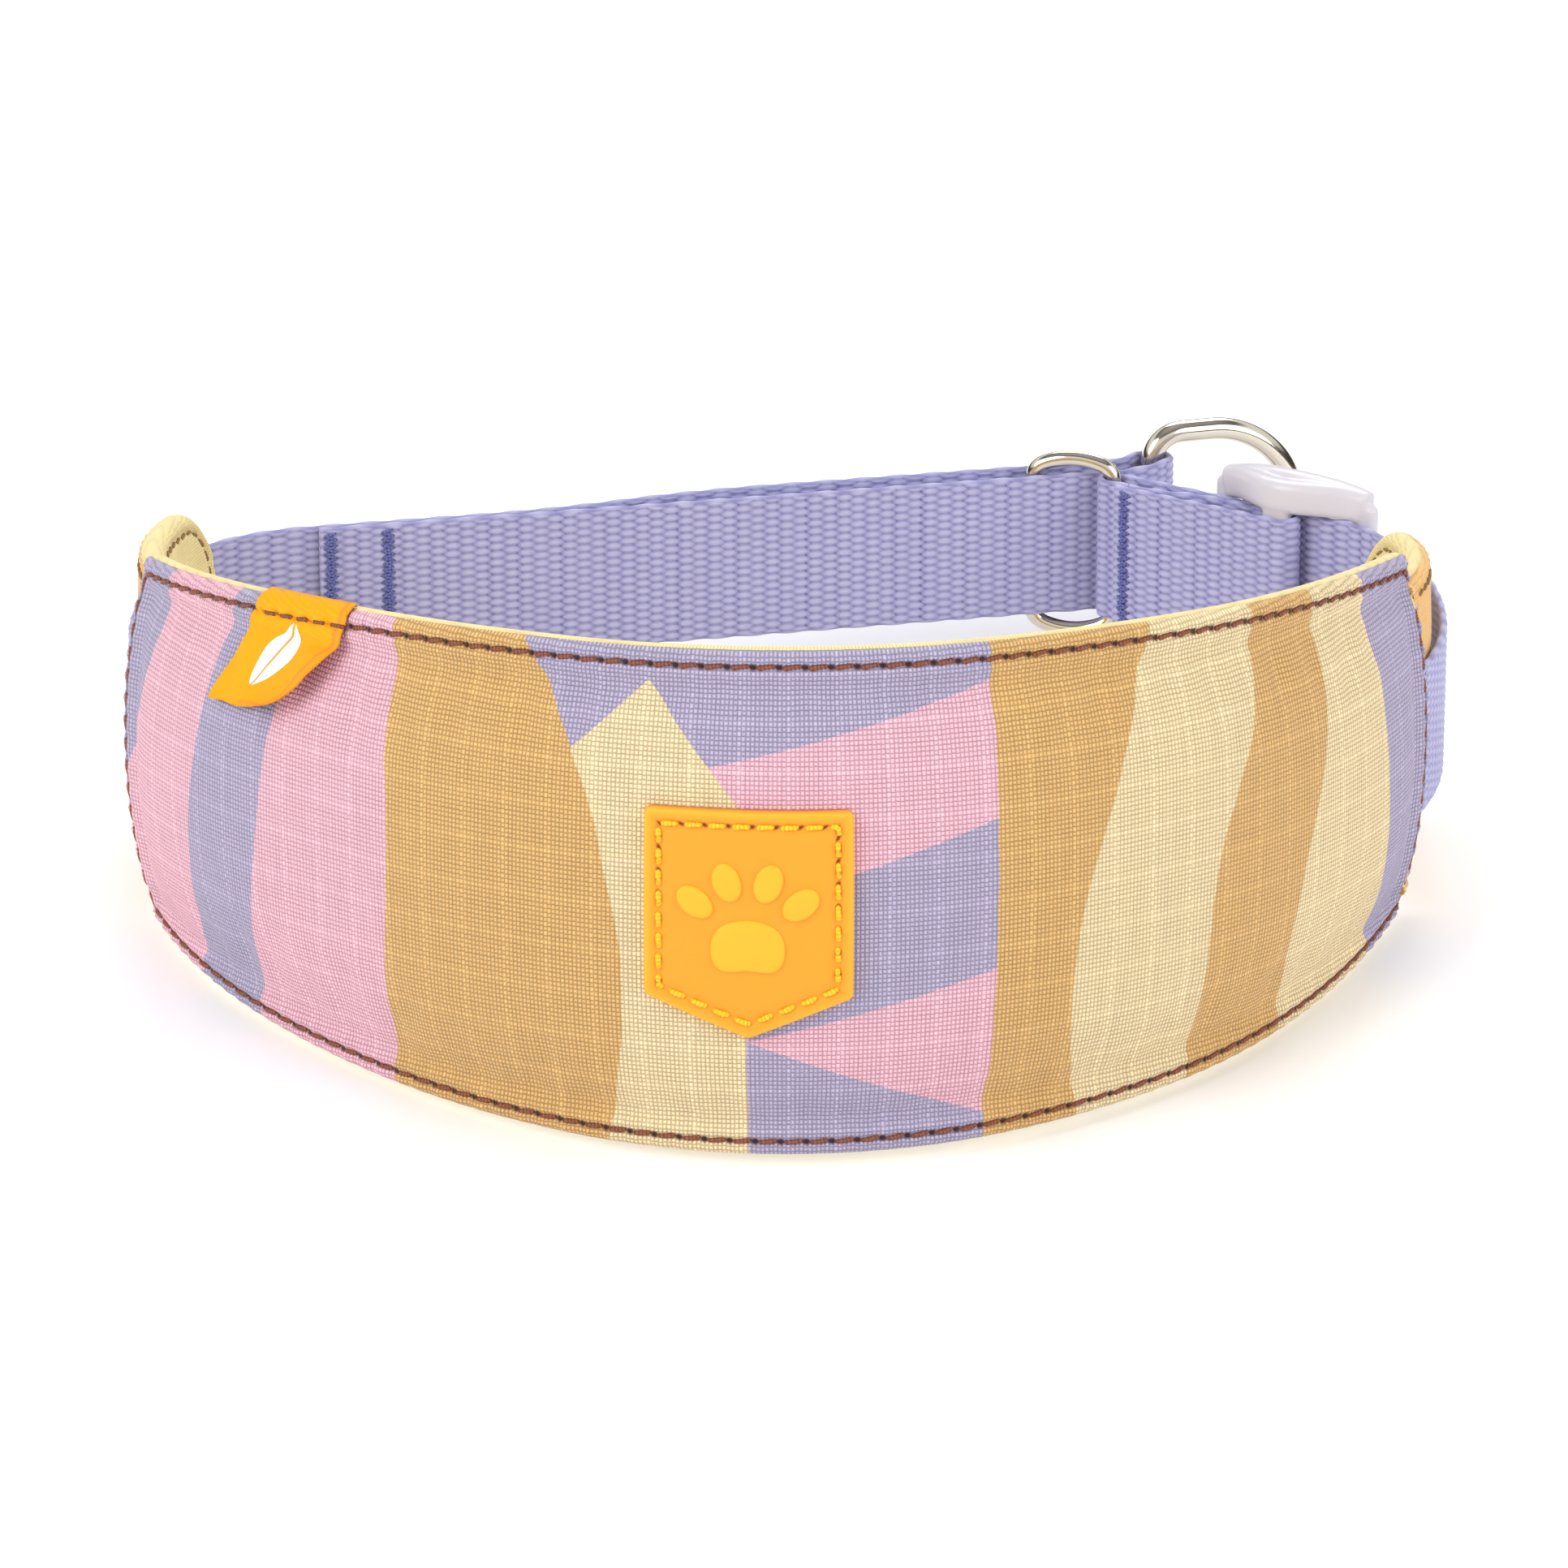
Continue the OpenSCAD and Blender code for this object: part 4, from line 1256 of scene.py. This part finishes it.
def rounded(corners):
    """A closed outline of arcs, from (x, z, radius) for each corner."""
    points = []
    places = np.array([corner[:2] for corner in corners], float)
    for k, (c, (_, _, r)) in enumerate(zip(places, corners)):
        u, v = unit(places[k - 1] - c), unit(places[(k + 1) % len(corners)] - c)
        half = math.acos(np.clip(u @ v, -1, 1)) / 2
        middle = c + unit(u + v) * r / math.sin(half)
        start, end = [math.atan2(*(c + w * r / math.tan(half) - middle)[::-1]) for w in (u, v)]
        turn = (end - start + math.pi) % (2 * math.pi) - math.pi
        angles = start + turn * np.linspace(0, 1, max(3, int(abs(turn) * r / WIRE_STEP)) + 1)
        points.append(middle + r * np.stack([np.cos(angles), np.sin(angles)], -1))
    return np.concatenate(points)


def wire_ring(name, corners, centre, heading, wire, body, node):
    """A bent wire ring: corners are (x, z, radius) round the ring in its own plane."""
    outline = rounded(corners)
    closed = np.vstack([outline, outline[:1]])
    length = distances(closed)
    even = np.linspace(0, length[-1], int(length[-1] / WIRE_STEP))[:-1]
    line = np.stack([np.interp(even, length, closed[:, 0]), np.interp(even, length, closed[:, 1])], -1)
    tangent = unit(np.roll(line, -1, 0) - np.roll(line, 1, 0))
    normal = np.stack([tangent[:, 1], -tangent[:, 0]], -1)
    angle = np.arange(WIRE_SIDES) * 2 * math.pi / WIRE_SIDES
    # The butt weld in the straight bar shows as a faint collar
    swell = 1 + 0.03 * np.exp(-((even - length[-1] * 0.02) / 0.7) ** 2)
    r = wire / 2 * swell[:, None]
    in_plane = line[:, None] + (r * np.cos(angle))[..., None] * normal[:, None]
    point = (centre + in_plane[..., :1] * along(heading)
             + (r * np.sin(angle))[..., None] * left_of(heading))
    index = np.arange(len(even) * WIRE_SIDES).reshape(-1, WIRE_SIDES)
    after = np.roll(index, -1, 0)
    faces = np.stack([index, np.roll(index, -1, 1), np.roll(after, -1, 1), after], -1).reshape(-1, 4)
    fit(build(name, np.concatenate([point, in_plane[..., 1:]], -1), faces, METAL), body, "ring_metal", node)


# The short ends of the oval ring bow outwards
OVAL_CORNER, OVAL_END, BOW_SLOPE, BOW_R = 2.8, 1.2, math.radians(22), 11.0
half_w, half_h = bar_gap / 2, (OVAL_H - OVAL_WIRE) / 2 - OVAL_END
bow_peak = half_h + half_w * math.tan(BOW_SLOPE)
lower = [(-half_w, -half_h, OVAL_CORNER), (0, -bow_peak, BOW_R), (half_w, -half_h, OVAL_CORNER)]
wire_ring("oval_ring_wire", lower + [(-x, -z, r) for x, z, r in lower], oval_mid, oval_heading, OVAL_WIRE,
          "neck_ring", "oval_ring")
D_HALF, D_CORNER, D_STRAIGHT, D_HEADING = 30.0 / 2 - D_WIRE / 2, 4.6, 4.5, 18.0
d_reach, bow_r = D_CORNER + D_STRAIGHT + D_HALF, D_HALF - 0.01
wire_ring("d_ring_wire", [(0, -D_HALF, D_CORNER), (d_reach, -D_HALF, bow_r), (d_reach, D_HALF, bow_r),
                          (0, D_HALF, D_CORNER)], d_bar, D_HEADING, D_WIRE, "leash_ring", "d_ring")

# ---- Slider ----

# The rails: half section, how far their middles stand from the slider's ends, and how much they droop
RAIL_HALF, RAIL_IN, RAIL_DROOP = (2.4, 1.75), 2.45, 1.8
BLOB_SIDES = 24


def slider_blob(line, half_a, half_b, across):
    """Sweep of a rounded-box section. across is the section's first axis; half_a lies along it."""
    line, across = np.asarray(line, float), np.asarray(across, float)
    tangent = unit(np.gradient(line, axis=0))
    a = unit(across - (tangent @ across)[:, None] * tangent)
    b = np.cross(tangent, a)
    angle = np.arange(BLOB_SIDES) * 2 * math.pi / BLOB_SIDES
    x, y = [np.sign(w) * np.abs(w) ** 0.62 for w in (np.cos(angle), np.sin(angle))]
    section = half_a * x[None, :, None] * a[:, None] + half_b * y[None, :, None] * b[:, None]
    section[[0, -1]] *= 0.6
    return (line[:, None] + section).reshape(-1, 3)


def slider():
    top = SLIDER_H / 2
    end_at = (SLIDER_L - BAR_W) / 2
    sweeps = []
    heights = np.linspace(-top + 2.6, top - 2.6, 30)
    for at, n, w, t in ((-end_at, end_n, BAR_W, BAR_T), (0, middle_n, MIDDLE_W, MIDDLE_T),
                        (end_at, end_n, BAR_W, BAR_T)):
        sweeps.append(slider_blob([(at, n, z) for z in heights], w / 2, t / 2, (1, 0, 0)))
    x = np.linspace(-SLIDER_L / 2 + 1.6, SLIDER_L / 2 - 1.6, 60)
    lift = smooth01(1 - np.abs(x) / end_at)
    # Each rail is as deep as the bars are apart: an inner and an outer sweep run together
    outer_n = end_n + 0.25
    for side in (-1, 1):
        for share, bow in ((0.95, 0.0), (0.35, 0.6)):
            n = outer_n + (middle_n - outer_n) * share * lift ** 0.9
            z = top - RAIL_IN - RAIL_DROOP * (np.abs(x) / (SLIDER_L / 2)) ** 3 + bow * lift
            sweeps.append(slider_blob(np.stack([x, n, side * z], -1), *RAIL_HALF, (0, 0, 1)))
    faces = []
    for k, sweep in enumerate(sweeps):
        faces += closed_faces(len(sweep) // BLOB_SIDES, BLOB_SIDES, sum(map(len, sweeps[:k])))
    local = np.concatenate(sweeps)
    plan = (fold_point + (SLIDER_AT + local[:, :1]) * along(NECK_HEADING)
            + local[:, 1:2] * left_of(NECK_HEADING))
    obj = build("tri_glide_body", np.concatenate([plan, local[:, 2:]], -1), faces, PLASTIC)
    mesh = obj.modifiers.new("join", "REMESH")
    mesh.mode, mesh.voxel_size = "VOXEL", 0.28 * MM
    soft = obj.modifiers.new("soft", "SMOOTH")
    soft.factor, soft.iterations = 0.5, 6
    apply_modifiers(obj)
    obj.data.materials.clear()
    obj.data.materials.append(PLASTIC)
    obj.data.polygons.foreach_set("use_smooth", np.ones(len(obj.data.polygons), bool))
    fit(obj, "adjuster", "slider_plastic", "tri_glide_slider")


slider()

# ---- Panel pieces: their transforms are baked into their meshes ----

BEND_FROM, BEND_TO = (-0.079, 0, 0), (-0.0185, 0, 0)
for obj, slot in ((cover, "printed_canvas"), (lining, "lining"), (topstitch, "topstitch_thread"),
                  (backstitch, "topstitch_thread"), (tag, "tag_ribbon"), (leaf, "tag_ribbon")):
    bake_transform(obj)
    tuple(BEND_FROM)
    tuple(BEND_TO)

# ---- Floor, light and camera ----

FLOOR_HALF, FLOOR_GAP = 3.0, 0.0004
low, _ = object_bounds()


def floor():
    m = Shade("floor", Roughness=0.75, Specular_IOR_Level=0.2)
    m.set("Base Color", m.mix(m.noise(4.0, 2.0), linear(250, 250, 250), linear(246, 246, 247)))
    mesh = bpy.data.meshes.new("floor")
    corners = [(x * FLOOR_HALF, y * FLOOR_HALF, low[2] - FLOOR_GAP)
               for x, y in ((-1, -1), (1, -1), (1, 1), (-1, 1))]
    mesh.from_pydata(corners, [], [(0, 1, 2, 3)])
    mesh.materials.append(m.mat)
    obj = bpy.data.objects.new("floor", mesh)
    bpy.context.scene.collection.objects.link(obj)


def softbox(name, place, power, size=0.8):
    """A round softbox that faces the middle of the collar."""
    data = bpy.data.lights.new(name, "AREA")
    data.shape, data.size, data.energy = "DISK", size, power
    obj = bpy.data.objects.new(name, data)
    obj.location = place
    obj.rotation_euler = (-Vector(place)).to_track_quat("-Z", "Y").to_euler()
    bpy.context.scene.collection.objects.link(obj)


def studio():
    """White light all round. Metal sees a dark surround between the bright floor and the softboxes."""
    world = bpy.data.worlds.new("studio")
    world.use_nodes = True
    nodes = Nodes(world.node_tree)
    white = nodes.node("Background", {"Color": (1, 1, 1, 1), "Strength": 0.75})
    height = nodes.node("SeparateXYZ", {0: nodes.node("TexCoord", {}, "Generated")}, "Z")
    surround = nodes.node("ValToRGB", {0: height * 0.5 + 0.5})
    ramp = surround.socket.node.color_ramp
    ramp.elements[0].position, ramp.elements[0].color = 0.0, (0.9, 0.88, 0.85, 1)
    ramp.elements[1].position, ramp.elements[1].color = 1.0, (0.5, 0.5, 0.52, 1)
    for where, grey in ((0.44, 0.75), (0.5, 0.05), (0.6, 0.04), (0.66, 0.9), (0.82, 1.0), (0.88, 0.12)):
        ramp.elements.new(where).color = (grey, grey, grey, 1)
    seen = nodes.node("Background", {"Color": surround})
    glossy = nodes.node("LightPath", {}, "Is Glossy Ray")
    both = nodes.node("MixShader", {0: glossy, 1: white, 2: seen})
    nodes.put(world.node_tree.nodes["World Output"].inputs["Surface"], both)
    bpy.context.scene.world = world


ELEVATION, DISTANCE, AIM = math.radians(18.5), 1000.0, np.array([1.7, 0.0, 0.0])
# The focal length as a share of the picture's width
FOCAL, SENSOR = 4.9172, 36


def camera():
    forward = np.array([0, math.cos(ELEVATION), -math.sin(ELEVATION)])
    eye = to_row(AIM - DISTANCE * forward)[0]
    ahead = unit(to_row(AIM)[0] - eye)
    right = np.array([1.0, 0, 0])
    data = bpy.data.cameras.new("camera")
    data.lens, data.sensor_width, data.clip_end = FOCAL * SENSOR, SENSOR, 20
    obj = bpy.data.objects.new("camera", data)
    turn = Matrix([list(right), list(np.cross(right, ahead)), list(-ahead)]).transposed().to_4x4()
    obj.matrix_world = Matrix.Translation(eye) @ turn
    bpy.context.scene.collection.objects.link(obj)
    bpy.context.scene.camera = obj


floor()
softbox("key", (-0.8, -0.6, 0.7), 9.0)
softbox("fill", (0.8, -0.5, 0.5), 5.2)
softbox("back", (0.1, 0.9, 0.8), 6.0)
studio()
camera()
bpy.context.scene.view_settings.view_transform = "Standard"
